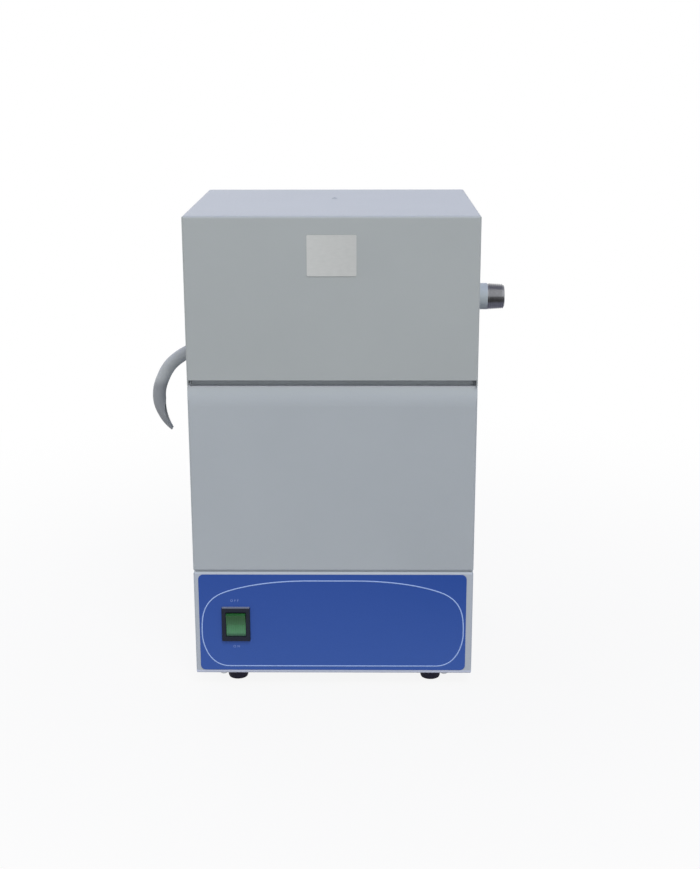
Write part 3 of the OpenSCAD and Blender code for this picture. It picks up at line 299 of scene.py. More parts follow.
def smooth_path(points, steps):
    """Points on a smooth curve through the given ones, with a number of steps between each pair."""
    path = []
    for i in range(len(points) - 1):
        before, after = points[max(i - 1, 0)], points[min(i + 2, len(points) - 1)]
        a, b = points[i], points[i + 1]
        for k in range(steps):
            t = k / steps
            lift = (after - b * 3 + a * 3 - before) * t**3 + (before * 2 - a * 5 + b * 4 - after) * t**2
            path.append(a + ((b - before) * t + lift) / 2)
    return path + [points[-1]]


ROUTE_STEPS = 5
hose_path = smooth_path(hose_points, ROUTE_STEPS)

# %% Hose tube


def new_object(name, mesh):
    """Object at the origin that shows a mesh."""
    shown = bpy.data.objects.new(name, mesh)
    bpy.context.collection.objects.link(shown)
    return shown


def plain_mesh(source, name):
    """Mesh of an object with its modifiers worked in, after which the object itself is gone."""
    evaluated = source.evaluated_get(bpy.context.evaluated_depsgraph_get())
    mesh = bpy.data.meshes.new_from_object(evaluated)
    mesh.name = name
    bpy.data.objects.remove(source)
    return mesh


def smooth_shaded(mesh, angle):
    """Shade a mesh smooth, with edges sharper than the angle in degrees kept crisp."""
    mesh.shade_smooth()
    mesh.set_sharp_from_angle(angle=math.radians(angle))
    return mesh


def tube_mesh(name, path, side, outer, inner, sides):
    """Closed tube with a bore along a path that stays square to the side direction."""
    tube = bmesh.new()
    rows = []
    for i, point in enumerate(path):
        ahead = (path[min(i + 1, len(path) - 1)] - path[max(i - 1, 0)]).normalized()
        across = side.cross(ahead).normalized()
        angles = [2 * math.pi * k / sides for k in range(sides)]
        arms = [across * math.cos(a) + side * math.sin(a) for a in angles]
        rows.append([[tube.verts.new(point + arm * radius) for arm in arms] for radius in (outer, inner)])
    for i in range(len(path) - 1):
        for here, there in zip(rows[i], rows[i + 1]):
            for k in range(sides):
                n = (k + 1) % sides
                tube.faces.new((here[k], here[n], there[n], there[k]))
    for end in (rows[0], rows[-1]):
        for k in range(sides):
            n = (k + 1) % sides
            tube.faces.new((end[0][k], end[0][n], end[1][n], end[1][k]))
    bmesh.ops.recalc_face_normals(tube, faces=tube.faces)
    mesh = bpy.data.meshes.new(name)
    tube.to_mesh(mesh)
    tube.free()
    return mesh


CUT_OUT, CUT_DROP, CUT_RADIUS = -5.1, 54.8, 39.2
hose_raw = new_object("hose_raw", tube_mesh("hose_raw", hose_path, Vector((0, 1, 0)),
                                            HOSE_DIAMETER / 2 * MM, HOSE_BORE / 2 * MM, 72))
knife = bmesh.new()
bmesh.ops.create_cone(knife, cap_ends=True, segments=240, radius1=CUT_RADIUS * MM, radius2=CUT_RADIUS * MM,
                      depth=2 * HOSE_DIAMETER * MM)
knife.transform(Matrix.Translation(at(-HALF_WIDTH - CUT_OUT, STILL_Y, SPOUT_HEIGHT - CUT_DROP))
                @ Matrix.Rotation(math.pi / 2, 4, "X"))
knife_mesh = bpy.data.meshes.new("hose_knife")
knife.to_mesh(knife_mesh)
knife.free()
knife_block = new_object("hose_knife", knife_mesh)
slice_end = hose_raw.modifiers.new("pared_end", "BOOLEAN")
slice_end.operation = "DIFFERENCE"
slice_end.solver = "EXACT"
slice_end.object = knife_block
hose = new_object("soft_hose", smooth_shaded(plain_mesh(hose_raw, "soft_hose"), 35))
bpy.data.objects.remove(knife_block)
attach(hose, "cabinet")
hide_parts("distillate_hose")
print("hose faces:", len(hose.data.polygons))

# %% [markdown]
# The casing is cold-rolled sheet with a baked powder coat: semi-gloss, faintly pebbled like orange peel,
# and never quite even in tone. A flat grey would look like card. Two noises do the work: a slow one
# shifts the tone by a few parts in a hundred, and a fine one makes the pebble. Real orange peel is about
# 0.8 mm across; it is drawn at 2.2 mm here, because finer pebbles vanish between the pixels.

# %% Powder coat


def powder_coat(name, colour, shade):
    """Semi-gloss baked paint that drifts between two close tones."""
    material, tree, shader, place = new_material(name)
    drift = add(tree, "ShaderNodeTexNoise", values={"Scale": per_metre(70), "Detail": 3.0},
                links={"Vector": place})
    tone = add(tree, "ShaderNodeMix", {"data_type": "RGBA"}, {6: linear(shade), 7: linear(colour)},
               {0: drift.outputs["Fac"]})
    tree.links.new(tone.outputs[2], shader.inputs["Base Color"])
    peel = add(tree, "ShaderNodeTexNoise", values={"Scale": per_metre(2.2), "Detail": 2.0},
               links={"Vector": place})
    gloss = add(tree, "ShaderNodeMapRange", values={"To Min": 0.40, "To Max": 0.52},
                links={"Value": peel.outputs["Fac"]})
    tree.links.new(gloss.outputs[0], shader.inputs["Roughness"])
    bump = add(tree, "ShaderNodeBump", values={"Strength": 0.12, "Distance": 0.4 * MM},
               links={"Height": peel.outputs["Fac"]})
    tree.links.new(bump.outputs[0], shader.inputs["Normal"])
    return material


casing_paint = powder_coat("grey_powder_coat", "#a0a7ac", "#9aa1a6")
cover_paint = powder_coat("grey_powder_coat_painted_light_ledge", "#a0a7ac", "#9aa1a6")
# The hood's paint is a darker, warmer copy of the casing paint: painted shade for the light on the hood.
hood_paint_shaded = powder_coat("grey_powder_coat_painted_shade", "#9da3a4", "#979d9e")
panel_paint = powder_coat("light_grey_powder_coat", "#a9b1ba", "#a3abb4")
print("paints:", [m.name for m in (casing_paint, cover_paint, hood_paint_shaded, panel_paint)])

# %% [markdown]
# The control panel wears a blue polyester film, printed from behind and satin in front. Its blue is
# painted a little deeper at the top, a painted shade where less light from the bench reaches it. The film
# has a fine sandy emboss, which scatters highlights.

# %% Blue overlay film
overlay_film, tree, shader, place = new_material("satin_polyester_film")
overlay_low, overlay_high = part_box("panel_overlay")
height = add(tree, "ShaderNodeSeparateXYZ", links={0: place})
film_painted_shade = add(tree, "ShaderNodeMapRange", values={"From Min": overlay_low.z, "From Max": overlay_high.z},
           links={"Value": height.outputs["Z"]})
# The deeper blue toward the top is painted shade.
blue = add(tree, "ShaderNodeMix", {"data_type": "RGBA"}, {6: linear("#33559f"), 7: linear("#264995")},
           {0: film_painted_shade.outputs[0]})
emboss = add(tree, "ShaderNodeTexNoise", values={"Scale": per_metre(1.1), "Detail": 1.0},
             links={"Vector": place})
grain = add(tree, "ShaderNodeMix", {"data_type": "RGBA", "blend_type": "MULTIPLY"}, {7: linear("#f4f4f6")},
            {0: emboss.outputs["Fac"], 6: blue.outputs[2]})
tree.links.new(grain.outputs[2], shader.inputs["Base Color"])
satin = add(tree, "ShaderNodeMapRange", values={"To Min": 0.38, "To Max": 0.5},
            links={"Value": emboss.outputs["Fac"]})
tree.links.new(satin.outputs[0], shader.inputs["Roughness"])
sand = add(tree, "ShaderNodeBump", values={"Strength": 0.08, "Distance": 0.2 * MM},
           links={"Height": emboss.outputs["Fac"]})
tree.links.new(sand.outputs[0], shader.inputs["Normal"])
shader.inputs["Specular IOR Level"].default_value = 0.3
print("film from", round(overlay_low.z / MM, 1), "to", round(overlay_high.z / MM, 1), "mm")

# %% [markdown]
# Metals. Stainless sheet is brushed, so its streaks run one way: a noise that is stretched along the
# height draws them. Turned brass and zinc plate have no grain, only the uneven dulling of handled metal.
# Metals take their colour from the reflection, so each is fully metallic, keeps the default IOR and
# differs in tint and roughness.

# %% Metals


def metal(name, bright, dull, rough, grain_mm):
    """Metal whose tint and roughness follow a grain with a size in millimetres along X, Y and Z."""
    material, tree, shader, place = new_material(name)
    shader.inputs["Metallic"].default_value = 1.0
    stretch = add(tree, "ShaderNodeMapping", values={"Scale": [per_metre(size) for size in grain_mm]},
                  links={"Vector": place})
    streak = add(tree, "ShaderNodeTexNoise", values={"Scale": 1.0, "Detail": 4.0},
                 links={"Vector": stretch.outputs[0]})
    tint = add(tree, "ShaderNodeMix", {"data_type": "RGBA"}, {6: linear(dull), 7: linear(bright)},
               {0: streak.outputs["Fac"]})
    tree.links.new(tint.outputs[2], shader.inputs["Base Color"])
    polish = add(tree, "ShaderNodeMapRange", values={"To Min": rough[0], "To Max": rough[1]},
                 links={"Value": streak.outputs["Fac"]})
    tree.links.new(polish.outputs[0], shader.inputs["Roughness"])
    score = add(tree, "ShaderNodeBump", values={"Strength": 0.1, "Distance": 0.1 * MM},
                links={"Height": streak.outputs["Fac"]})
    tree.links.new(score.outputs[0], shader.inputs["Normal"])
    return material


brushed_stainless = metal("brushed_stainless_steel", "#c4c7ca", "#9da0a4", (0.22, 0.36), (1.2, 1.2, 30))
turned_steel = metal("turned_stainless_thread", "#aaabaf", "#919297", (0.2, 0.3), (0.8, 6, 6))
zinc_plate = metal("bright_zinc_plate", "#c2c5c9", "#9fa3a8", (0.26, 0.42), (4, 4, 4))
turned_brass = metal("turned_brass", "#c9a75c", "#a5843f", (0.24, 0.4), (3, 3, 3))
brushed_aluminium = metal("brushed_aluminium_sheet", "#d5d7d7", "#c6c9c9", (0.36, 0.52), (5, 5, 2))
metals = (brushed_stainless, turned_steel, zinc_plate, turned_brass, brushed_aluminium)
print("metals:", [m.name for m in metals])

# %% [markdown]
# Rubber, nylon, silicone and steatite are dull for different reasons: rubber drinks light and shows
# bloom, moulded nylon carries a spark-eroded texture from its tool, silicone is slightly see-through,
# steatite is chalky. One recipe with a speckle of the right size and a bump serves them all, and the
# differences are its numbers.

# %% Moulded materials


def moulded(name, colour, shade, rough, speckle_mm, relief, subsurface=0.0, shine=0.5):
    """Moulded soft or hard plastic with a speckled surface."""
    material, tree, shader, place = new_material(name)
    shader.inputs["Specular IOR Level"].default_value = shine
    shader.inputs["Subsurface Weight"].default_value = subsurface
    shader.inputs["Subsurface Radius"].default_value = (4 * MM, 4 * MM, 4 * MM)
    speckle = add(tree, "ShaderNodeTexNoise", values={"Scale": per_metre(speckle_mm), "Detail": 3.0},
                  links={"Vector": place})
    tone = add(tree, "ShaderNodeMix", {"data_type": "RGBA"}, {6: linear(shade), 7: linear(colour)},
               {0: speckle.outputs["Fac"]})
    tree.links.new(tone.outputs[2], shader.inputs["Base Color"])
    dull = add(tree, "ShaderNodeMapRange", values={"To Min": rough[0], "To Max": rough[1]},
               links={"Value": speckle.outputs["Fac"]})
    tree.links.new(dull.outputs[0], shader.inputs["Roughness"])
    bump = add(tree, "ShaderNodeBump", values={"Strength": relief, "Distance": 0.3 * MM},
               links={"Height": speckle.outputs["Fac"]})
    tree.links.new(bump.outputs[0], shader.inputs["Normal"])
    return material


foot_rubber = moulded("moulded_black_rubber", "#2a2838", "#1f1d2b", (0.6, 0.8), 1.5, 0.2, shine=0.2)
black_nylon = moulded("spark_eroded_black_nylon", "#1d2230", "#161a26", (0.42, 0.58), 0.9, 0.15, shine=0.2)
seal_silicone = moulded("red_silicone_seal", "#93503f", "#7f4334", (0.5, 0.65), 3, 0.1)
sleeve_nylon = moulded("grey_nylon_sleeve", "#a0a9ae", "#969fa4", (0.35, 0.5), 5, 0.08, 0.1)
hose_silicone = moulded("grey_silicone_hose", "#adb2b4", "#a2a7a9", (0.45, 0.6), 6, 0.08, 0.15)
steatite = moulded("unglazed_steatite", "#e8e3d6", "#dad4c4", (0.7, 0.85), 1.2, 0.2)
moulds = (foot_rubber, black_nylon, seal_silicone, sleeve_nylon, hose_silicone, steatite)
print("moulded:", [m.name for m in moulds])

# %% [markdown]
# A thin light line lies on top of the switch bezel, partly dust and partly a painted highlight where its
# top catches light. The bottom of the finger groove is painted lighter too, as painted light in the shade
# under the hood's overhang. Paint on those faces would have a hard border. The surface's own direction is
# a better mask: the more a face looks up, the lighter it is painted, and its height picks the ledge.

# %% Dust and painted light on two ledges
MID_TOP = 274.5


def height_of(tree):
    """Output with the height of a point of the surface."""
    place = add(tree, "ShaderNodeTexCoord").outputs["Object"]
    return add(tree, "ShaderNodeSeparateXYZ", links={0: place}).outputs["Z"]


def tint_where(tree, mask, tone):
    """Mix a tone into a material's own colour where a mask is 1."""
    colour = tree.nodes["Principled BSDF"].inputs["Base Color"]
    bare = colour.links[0].from_socket
    mixed = add(tree, "ShaderNodeMix", {"data_type": "RGBA"}, {7: linear(tone)}, {0: mask, 6: bare})
    tree.links.new(mixed.outputs[2], colour)


def lighten_ledges(material, ledge_z, tone):
    """Lighten the upward faces of a material at a ledge's height and above, with dust and painted light."""
    tree = material.node_tree
    normal = add(tree, "ShaderNodeNewGeometry").outputs["Normal"]
    facing = add(tree, "ShaderNodeSeparateXYZ", links={0: normal})
    level = add(tree, "ShaderNodeMapRange", values={"From Min": 0.55, "From Max": 0.9},
                links={"Value": facing.outputs["Z"]})
    on_ledge = add(tree, "ShaderNodeMapRange", links={"Value": height_of(tree)},
                   values={"From Min": ledge_z - 2 * MM, "From Max": ledge_z - 1 * MM})
    dust_and_light_mask = add(tree, "ShaderNodeMath", {"operation": "MULTIPLY"},
                links={0: level.outputs[0], 1: on_ledge.outputs[0]})
    tint_where(tree, dust_and_light_mask.outputs[0], tone)


# On the bezel's top: partly dust, partly a painted highlight.
lighten_ledges(black_nylon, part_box("switch_body")[1].z, "#7d8494")
# On the groove's ledge: painted light in the shade under the hood.
lighten_ledges(cover_paint, MID_TOP * MM, "#c6cad2")
print("dust on", black_nylon.name, "and", cover_paint.name)

# %% [markdown]
# The lower half of the hose is painted darker, as painted shade, while its upper part faces the light from
# above. A second material would meet the first in a hard ring. Here one mix turns the lit tone into the
# shaded one over a centimetre of height.

# %% Painted shade on the lower hose
LIT_DROP, SHADED_DROP = 26, 36
tree = hose_silicone.node_tree
painted_darker = add(tree, "ShaderNodeMapRange", {"interpolation_type": "SMOOTHSTEP"},
             {"From Min": (SPOUT_HEIGHT - LIT_DROP) * MM, "From Max": (SPOUT_HEIGHT - SHADED_DROP) * MM},
             {"Value": height_of(tree)})
# The darker tone below is painted shade.
tint_where(tree, painted_darker.outputs[0], "#8a8e92")
print("hose dulled below", SPOUT_HEIGHT - LIT_DROP, "mm")

# %% [markdown]
# A lighter, bluish strip is painted on the control panel's lower bend. The bend has no mesh of its own,
# so the strip is picked by its height, just under the film.

# %% Lighter strip on the control panel's lower bend
tree = panel_paint.node_tree
lighter_strip = add(tree, "ShaderNodeMapRange", links={"Value": height_of(tree)},
             values={"From Min": overlay_low.z, "From Max": overlay_low.z - 1 * MM})
tint_where(tree, lighter_strip.outputs[0], "#bcc3d6")
print("panel rubbed below", round(overlay_low.z / MM, 1), "mm")

# %% [markdown]
# The rocker is tinted polycarbonate over a dark lamp space. Light that goes in comes out greener, and its
# moulded back is ribbed to spread the lamp. Real transmission would only show the dark housing, so the
# ribs are drawn in the tint. The tint is painted darkest at the top, a painted shade where the pressed
# rocker's upper half faces down, lighter across the lower half, a painted light where it faces up, and
# darker again at the lower rim.

# %% Green rocker lens
green_lens, tree, shader, place = new_material("tinted_polycarbonate")
shader.inputs["Coat Weight"].default_value = 0.08
shader.inputs["Coat Roughness"].default_value = 0.08
shader.inputs["Subsurface Weight"].default_value = 0.2
shader.inputs["Subsurface Radius"].default_value = (1 * MM, 3 * MM, 1 * MM)
rocker_low, rocker_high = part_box("switch_rocker")
ribs = add(tree, "ShaderNodeTexWave", {"bands_direction": "X"},
           {"Scale": per_metre(1.6) / math.tau * 2, "Distortion": 0.4}, {"Vector": place})
cloud = add(tree, "ShaderNodeTexNoise", values={"Scale": per_metre(7), "Detail": 2.0},
            links={"Vector": place})
height = add(tree, "ShaderNodeSeparateXYZ", links={0: place})
down = add(tree, "ShaderNodeMapRange", values={"From Min": rocker_high.z, "From Max": rocker_low.z},
           links={"Value": height.outputs["Z"]})
# Painted shade at the top, painted light across the lower half, darker again at the lower rim.
depth = add(tree, "ShaderNodeValToRGB", links={"Fac": down.outputs[0]})
stops = depth.color_ramp.elements
stops[0].position, stops[0].color = 0.2, linear("#2a5c33")
stops[1].position, stops[1].color = 0.98, linear("#2c4f40")
stops.new(0.84).color = linear("#518863")
lit = add(tree, "ShaderNodeMath", {"operation": "MULTIPLY"},
          links={0: ribs.outputs["Fac"], 1: cloud.outputs["Fac"]})
green = add(tree, "ShaderNodeMix", {"data_type": "RGBA", "blend_type": "MULTIPLY"}, {7: linear("#cfdccf")},
            {0: lit.outputs[0], 6: depth.outputs["Color"]})
tree.links.new(green.outputs[2], shader.inputs["Base Color"])
shader.inputs["Specular IOR Level"].default_value = 0.22
soft = add(tree, "ShaderNodeMapRange", values={"To Min": 0.25, "To Max": 0.38},
           links={"Value": cloud.outputs["Fac"]})
tree.links.new(soft.outputs[0], shader.inputs["Roughness"])
print("lens", [round(z / MM, 1) for z in (rocker_low.z, rocker_high.z)], "mm up")

# %% [markdown]
# Each CAD part says in the imported record which finish it has. Reading that list and handing out the
# materials by it is safer than naming fifty parts one by one. The hood gets a darker, warmer copy of the
# casing paint, a painted shade for the different light that falls on it, and the control panel gets its
# own lighter grey. The middle cover gets the copy that holds the painted light on its groove ledge.

# %% Hand out the finishes
finishes = {
    "casing_paint": casing_paint, "overlay_film": overlay_film, "zinc_screws": zinc_plate,
    "foot_rubber": foot_rubber, "black_nylon": black_nylon, "green_lens": green_lens, "brass": turned_brass,
    "stainless": brushed_stainless, "seal_silicone": seal_silicone, "sleeve_nylon": sleeve_nylon,
    "hose_silicone": hose_silicone, "ceramic": steatite, "plate_aluminium": brushed_aluminium,
}
for part in frame["record"]["subparts"]:
    mesh = frame["nodes"][part["node"]].data
    mesh.materials.clear()
    mesh.materials.append(finishes[part["material_slot"]])
frame["nodes"]["control_panel"].data.materials[0] = panel_paint
frame["nodes"]["hood"].data.materials[0] = hood_paint_shaded
frame["nodes"]["mid_cover"].data.materials[0] = cover_paint
hose.data.materials.clear()
hose.data.materials.append(hose_silicone)
print(len(frame["nodes"]), "parts have their finish")

# %% [markdown]
# A closed white line runs round the overlay: flat along the bottom, bulging at the sides and arched at
# the top. It is a print about a millimetre wide. Painting it in the material would blur it between
# texture samples, so it is a ribbon that lies on the film. Four knots describe the right half, and the
# left half is its mirror image. Geometry Nodes then sweep a flat strip along the line, with its width and
# thickness as named inputs.

# %% A tree builder for Geometry Nodes


def geometry_tree(name, inputs):
    """Node tree with a geometry input and output and named inputs; returns it with its ends and ids."""
    tree = bpy.data.node_groups.new(name, "GeometryNodeTree")
    tree.interface.new_socket("Geometry", in_out="INPUT", socket_type="NodeSocketGeometry")
    tree.interface.new_socket("Geometry", in_out="OUTPUT", socket_type="NodeSocketGeometry")
    ids = {}
    for label, kind in inputs.items():
        ids[label] = tree.interface.new_socket(label, in_out="INPUT", socket_type=kind).identifier
    return tree, add(tree, "NodeGroupInput"), add(tree, "NodeGroupOutput"), ids


def finish_tree(tree, ends, geometry, material):
    """Close a tree with Realize Instances and Set Material."""
    real = add(tree, "GeometryNodeRealizeInstances", links={"Geometry": geometry})
    dressed = add(tree, "GeometryNodeSetMaterial", values={"Material": material},
                  links={"Geometry": real.outputs[0]})
    tree.links.new(dressed.outputs[0], ends.inputs[0])


def grow(name, seed, tree, ids, values):
    """Plain mesh object from a seed object that a node tree works on."""
    grower = seed.modifiers.new("grow", "NODES")
    grower.node_group = tree
    for label, value in values.items():
        grower[ids[label]] = value
    return new_object(name, plain_mesh(seed, name))


def scaled(tree, output, factor):
    """Output of a float multiplied by a fixed factor."""
    return add(tree, "ShaderNodeMath", {"operation": "MULTIPLY"}, {1: factor}, {0: output}).outputs[0]


FLOAT, VECTOR = "NodeSocketFloat", "NodeSocketVector"
print("tree builder ready")

# %% Screen inks


def screen_ink(name, colour, shade):
    """Matt ink whose cover is a little uneven, with flecks two millimetres across."""
    material, tree, shader, place = new_material(name)
    fleck = add(tree, "ShaderNodeTexNoise", values={"Scale": per_metre(2), "Detail": 2.0},
                links={"Vector": place})
    cover = add(tree, "ShaderNodeMix", {"data_type": "RGBA"}, {6: linear(shade), 7: linear(colour)},
                {0: fleck.outputs["Fac"]})
    tree.links.new(cover.outputs[2], shader.inputs["Base Color"])
    shader.inputs["Roughness"].default_value = 0.45
    return material


line_ink = screen_ink("white_screen_ink", "#a0b8e6", "#8ea9dc")
word_ink = screen_ink("thin_screen_ink", "#8297cc", "#6c84c2")
print("inks:", line_ink.name, word_ink.name)

# %% The printed line
BASE_Z = 12.0
INK_T = 0.06
FILM_FRONT = (overlay_low.y - FRONT_Y) / MM
LINE_X = ((overlay_low.x + overlay_high.x) / 2 - MIDDLE_X) / MM
LINE_WIDTH = 1.0
SHOULDER_FALL = 0.47
top, shoulder = Vector((20, 100.2)), Vector((98.5, 87.9))
side, bottom = Vector((115.4, 49.5)), Vector((91.2, 19.3))
slope = Vector((math.cos(SHOULDER_FALL), -math.sin(SHOULDER_FALL)))
half_line = [
    (top, Vector((0, top.y)), top + Vector((49.3, 0))),
    (shoulder, shoulder - slope * 4, shoulder + slope * 19.5),
    (side, side + Vector((0, 13.5)), side - Vector((0, 4.6))),
    (bottom, bottom + Vector((21.3, 0)), Vector((0, bottom.y))),
]
other_half = [[Vector((-point.x, point.y)) for point in (middle, after, before)]
              for middle, before, after in reversed(half_line)]
knots = half_line + other_half
line = bpy.data.curves.new("panel_line", "CURVE")
line.dimensions = "3D"
line.resolution_u = 24
spline = line.splines.new("BEZIER")
spline.bezier_points.add(len(knots) - 1)
spline.use_cyclic_u = True
for knot, (middle, before, after) in zip(spline.bezier_points, knots):
    knot.co, knot.handle_left, knot.handle_right = (
        at(LINE_X + point.x, FILM_FRONT - INK_T / 2, point.y) for point in (middle, before, after))
ribbon, start, end, ids = geometry_tree("printed_line", {"Width": FLOAT, "Thickness": FLOAT})
strip = add(ribbon, "GeometryNodeCurvePrimitiveQuadrilateral",
            links={"Width": start.outputs["Thickness"], "Height": start.outputs["Width"]})
upright = add(ribbon, "GeometryNodeSetCurveNormal", {"mode": "FREE"}, {"Normal": (0, -1, 0)},
              {"Curve": start.outputs[0]})
swept = add(ribbon, "GeometryNodeCurveToMesh",
            links={"Curve": upright.outputs[0], "Profile Curve": strip.outputs[0]})
finish_tree(ribbon, end, swept.outputs[0], line_ink)
panel_line = grow("panel_line", new_object("panel_line_seed", line), ribbon, ids,
                  {"Width": LINE_WIDTH * MM, "Thickness": INK_T * MM})
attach(panel_line, "cabinet")
print("printed line:", len(panel_line.data.polygons), "faces")

# %% [markdown]
# The switch has the usual OFF above it and ON below, in small spaced capitals. Blender's own text object
# draws them; it becomes a mesh before it is stood up and moved to its place, so that the piece itself
# stays at the origin.

# %% The switch's two words
CAP_HEIGHT = 2.2
LETTER_SIZE = CAP_HEIGHT / 0.72


def printed_word(name, word, x, z):
    """A centred word of ink on the film, with its middle at the cabinet's x and z."""
    letters = bpy.data.curves.new(name, "FONT")
    letters.body = word
    letters.size = LETTER_SIZE * MM
    letters.space_character = 1.7
    letters.extrude = INK_T / 2 * MM
    letters.align_x, letters.align_y = "CENTER", "CENTER"
    mesh = plain_mesh(new_object(name + "_seed", letters), name)
    on_film = Matrix.Translation(at(x, FILM_FRONT - INK_T / 2, z))
    mesh.transform(on_film @ Matrix.Rotation(math.pi / 2, 4, "X"))
    mesh.materials.clear()
    mesh.materials.append(word_ink)
    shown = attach(new_object(name, mesh), "cabinet")
    return shown


words = [printed_word("word_off", "OFF", -87, BASE_Z + 69.5), printed_word("word_on", "ON", -86, BASE_Z + 26)]
print("words:", [w.name for w in words])

# %% [markdown]
# The water inlet is a steel nipple with a tapered pipe thread, 14 turns to the inch. CAD keeps it a plain
# cylinder for its mating parts. Here Geometry Nodes wind a ridge along a spiral that narrows by the
# thread's taper, and a turned body with its bore is spun from a profile. Only the ridge needs the path,
# so only it is made of nodes.

# %% Threaded inlet nipple
INLET_HEIGHT = 333.2
THREAD_START, THREAD_END = 137.6, 152.8
THREAD_PITCH = 25.4 / 14
THREAD_CREST = 11.8
THREAD_DEPTH = 0.75
THREAD_RUNOUT = 0.6 * THREAD_PITCH
TAPER = 1 / 18
NIPPLE_BORE, NIPPLE_STEM, NIPPLE_START = 7.5, 9, 85
END_CHAMFER, BORE_CHAMFER = 0.7, 0.4


def spun_mesh(name, profile, matrix, sides):
    """Solid of revolution about Z from a closed profile of (radius, height) in mm, placed by a matrix."""
    spun = bmesh.new()
    rings = []
    for k in range(sides):
        c, s = math.cos(2 * math.pi * k / sides), math.sin(2 * math.pi * k / sides)
        rings.append([spun.verts.new((r * MM * c, r * MM * s, z * MM)) for r, z in profile])
    for k in range(sides):
        here, there = rings[k], rings[(k + 1) % sides]
        for i in range(len(profile)):
            j = (i + 1) % len(profile)
            spun.faces.new((here[i], there[i], there[j], here[j]))
    bmesh.ops.recalc_face_normals(spun, faces=spun.faces)
    spun.transform(matrix)
    mesh = bpy.data.meshes.new(name)
    spun.to_mesh(mesh)
    spun.free()
    return mesh


ALONG_X = Matrix.Translation(at(0, STILL_Y, INLET_HEIGHT)) @ Matrix.Rotation(math.pi / 2, 4, "Y")
thread_length = THREAD_END - THREAD_START
wound_length = thread_length - 2 * THREAD_RUNOUT
root = THREAD_CREST - THREAD_DEPTH
end_root = root - thread_length * TAPER
nipple_profile = [
    (NIPPLE_BORE, NIPPLE_START), (NIPPLE_STEM, NIPPLE_START), (NIPPLE_STEM, THREAD_START),
    (root, THREAD_START), (end_root, THREAD_END - END_CHAMFER), (end_root - END_CHAMFER, THREAD_END),
    (NIPPLE_BORE + BORE_CHAMFER, THREAD_END), (NIPPLE_BORE, THREAD_END - BORE_CHAMFER),
]
nipple_mesh = smooth_shaded(spun_mesh("inlet_body", nipple_profile, ALONG_X, 64), 30)
nipple_mesh.materials.append(turned_steel)
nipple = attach(new_object("inlet_body", nipple_mesh), "cabinet")
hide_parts("inlet_nipple")

helix, start, end, ids = geometry_tree("pipe_thread", {
    "Root Radius": FLOAT, "End Radius": FLOAT, "Length": FLOAT, "Turns": FLOAT, "Depth": FLOAT, "Foot": FLOAT,
    "Crest": FLOAT})
spiral = add(helix, "GeometryNodeCurveSpiral", values={"Resolution": 64}, links={
    "Rotations": start.outputs["Turns"], "Start Radius": start.outputs["Root Radius"],
    "End Radius": start.outputs["End Radius"], "Height": start.outputs["Length"]})
ridge = add(helix, "GeometryNodeCurvePrimitiveQuadrilateral", {"mode": "POINTS"})
ridge_corners = ((1, "Foot", -0.5), (-1, "Crest", -0.5), (-1, "Crest", 0.5), (1, "Foot", 0.5))
for k, (out, width, half) in enumerate(ridge_corners, 1):
    corner = add(helix, "ShaderNodeCombineXYZ", links={"X": scaled(helix, start.outputs["Depth"], out),
                                                       "Y": scaled(helix, start.outputs[width], half)})
    helix.links.new(corner.outputs[0], ridge.inputs[f"Point {k}"])
steady = add(helix, "GeometryNodeSetCurveNormal", {"mode": "Z_UP"}, links={"Curve": spiral.outputs[0]})
wound = add(helix, "GeometryNodeCurveToMesh", values={"Fill Caps": True},
            links={"Curve": steady.outputs[0], "Profile Curve": ridge.outputs[0]})
finish_tree(helix, end, wound.outputs[0], turned_steel)
thread = grow("inlet_thread", new_object("thread_seed", bpy.data.meshes.new("thread_seed")), helix, ids, {
    "Root Radius": root * MM, "End Radius": end_root * MM, "Length": wound_length * MM,
    "Turns": wound_length / THREAD_PITCH, "Depth": THREAD_DEPTH * MM, "Foot": THREAD_PITCH * 1.05 * MM,
    "Crest": THREAD_PITCH * 0.4 * MM})
smooth_shaded(thread.data, 30)
thread.data.transform(ALONG_X @ Matrix.Translation((0, 0, (THREAD_START + THREAD_RUNOUT) * MM)))
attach(thread, "cabinet")
print("thread:", len(thread.data.polygons), "faces")

# %% [markdown]
# Sheet metal is held by pan-head screws with a cross recess. CAD gives each a smooth head, because the
# recess carries no load. Geometry Nodes build one screw from a domed head, cut the cross out of it, and
# set a copy on every point of a seed mesh, turned to the direction of its row. Each row becomes one plain
# mesh that stands for its CAD part.

# %% The screw tree
screw, start, end, ids = geometry_tree("cross_head_screw", {
    "Head Diameter": FLOAT, "Head Height": FLOAT, "Shank": FLOAT, "Length": FLOAT, "Direction": VECTOR})


def shifted(tree, geometry, height):
    """Geometry moved up by a height."""
    lift = add(tree, "ShaderNodeCombineXYZ", links={"Z": height})
    moved = add(tree, "GeometryNodeTransform", links={"Geometry": geometry, "Translation": lift.outputs[0]})
    return moved.outputs[0]


head_d, head_h = start.outputs["Head Diameter"], start.outputs["Head Height"]
drum = add(screw, "GeometryNodeMeshCylinder", values={"Vertices": 32},
           links={"Radius": scaled(screw, head_d, 0.5), "Depth": head_h})
ball_r = scaled(screw, head_d, 0.72)
ball = add(screw, "GeometryNodeMeshUVSphere", values={"Segments": 32, "Rings": 24}, links={"Radius": ball_r})
ball_z = add(screw, "ShaderNodeMath", {"operation": "SUBTRACT"}, links={0: head_h, 1: ball_r}).outputs[0]
domed = add(screw, "GeometryNodeMeshBoolean", {"operation": "INTERSECT", "solver": "EXACT"})
screw.links.new(shifted(screw, drum.outputs[0], scaled(screw, head_h, 0.5)), domed.inputs[1])
screw.links.new(shifted(screw, ball.outputs[0], ball_z), domed.inputs[1])
recess = add(screw, "GeometryNodeMeshBoolean", {"operation": "DIFFERENCE", "solver": "EXACT"},
             links={0: domed.outputs[0]})
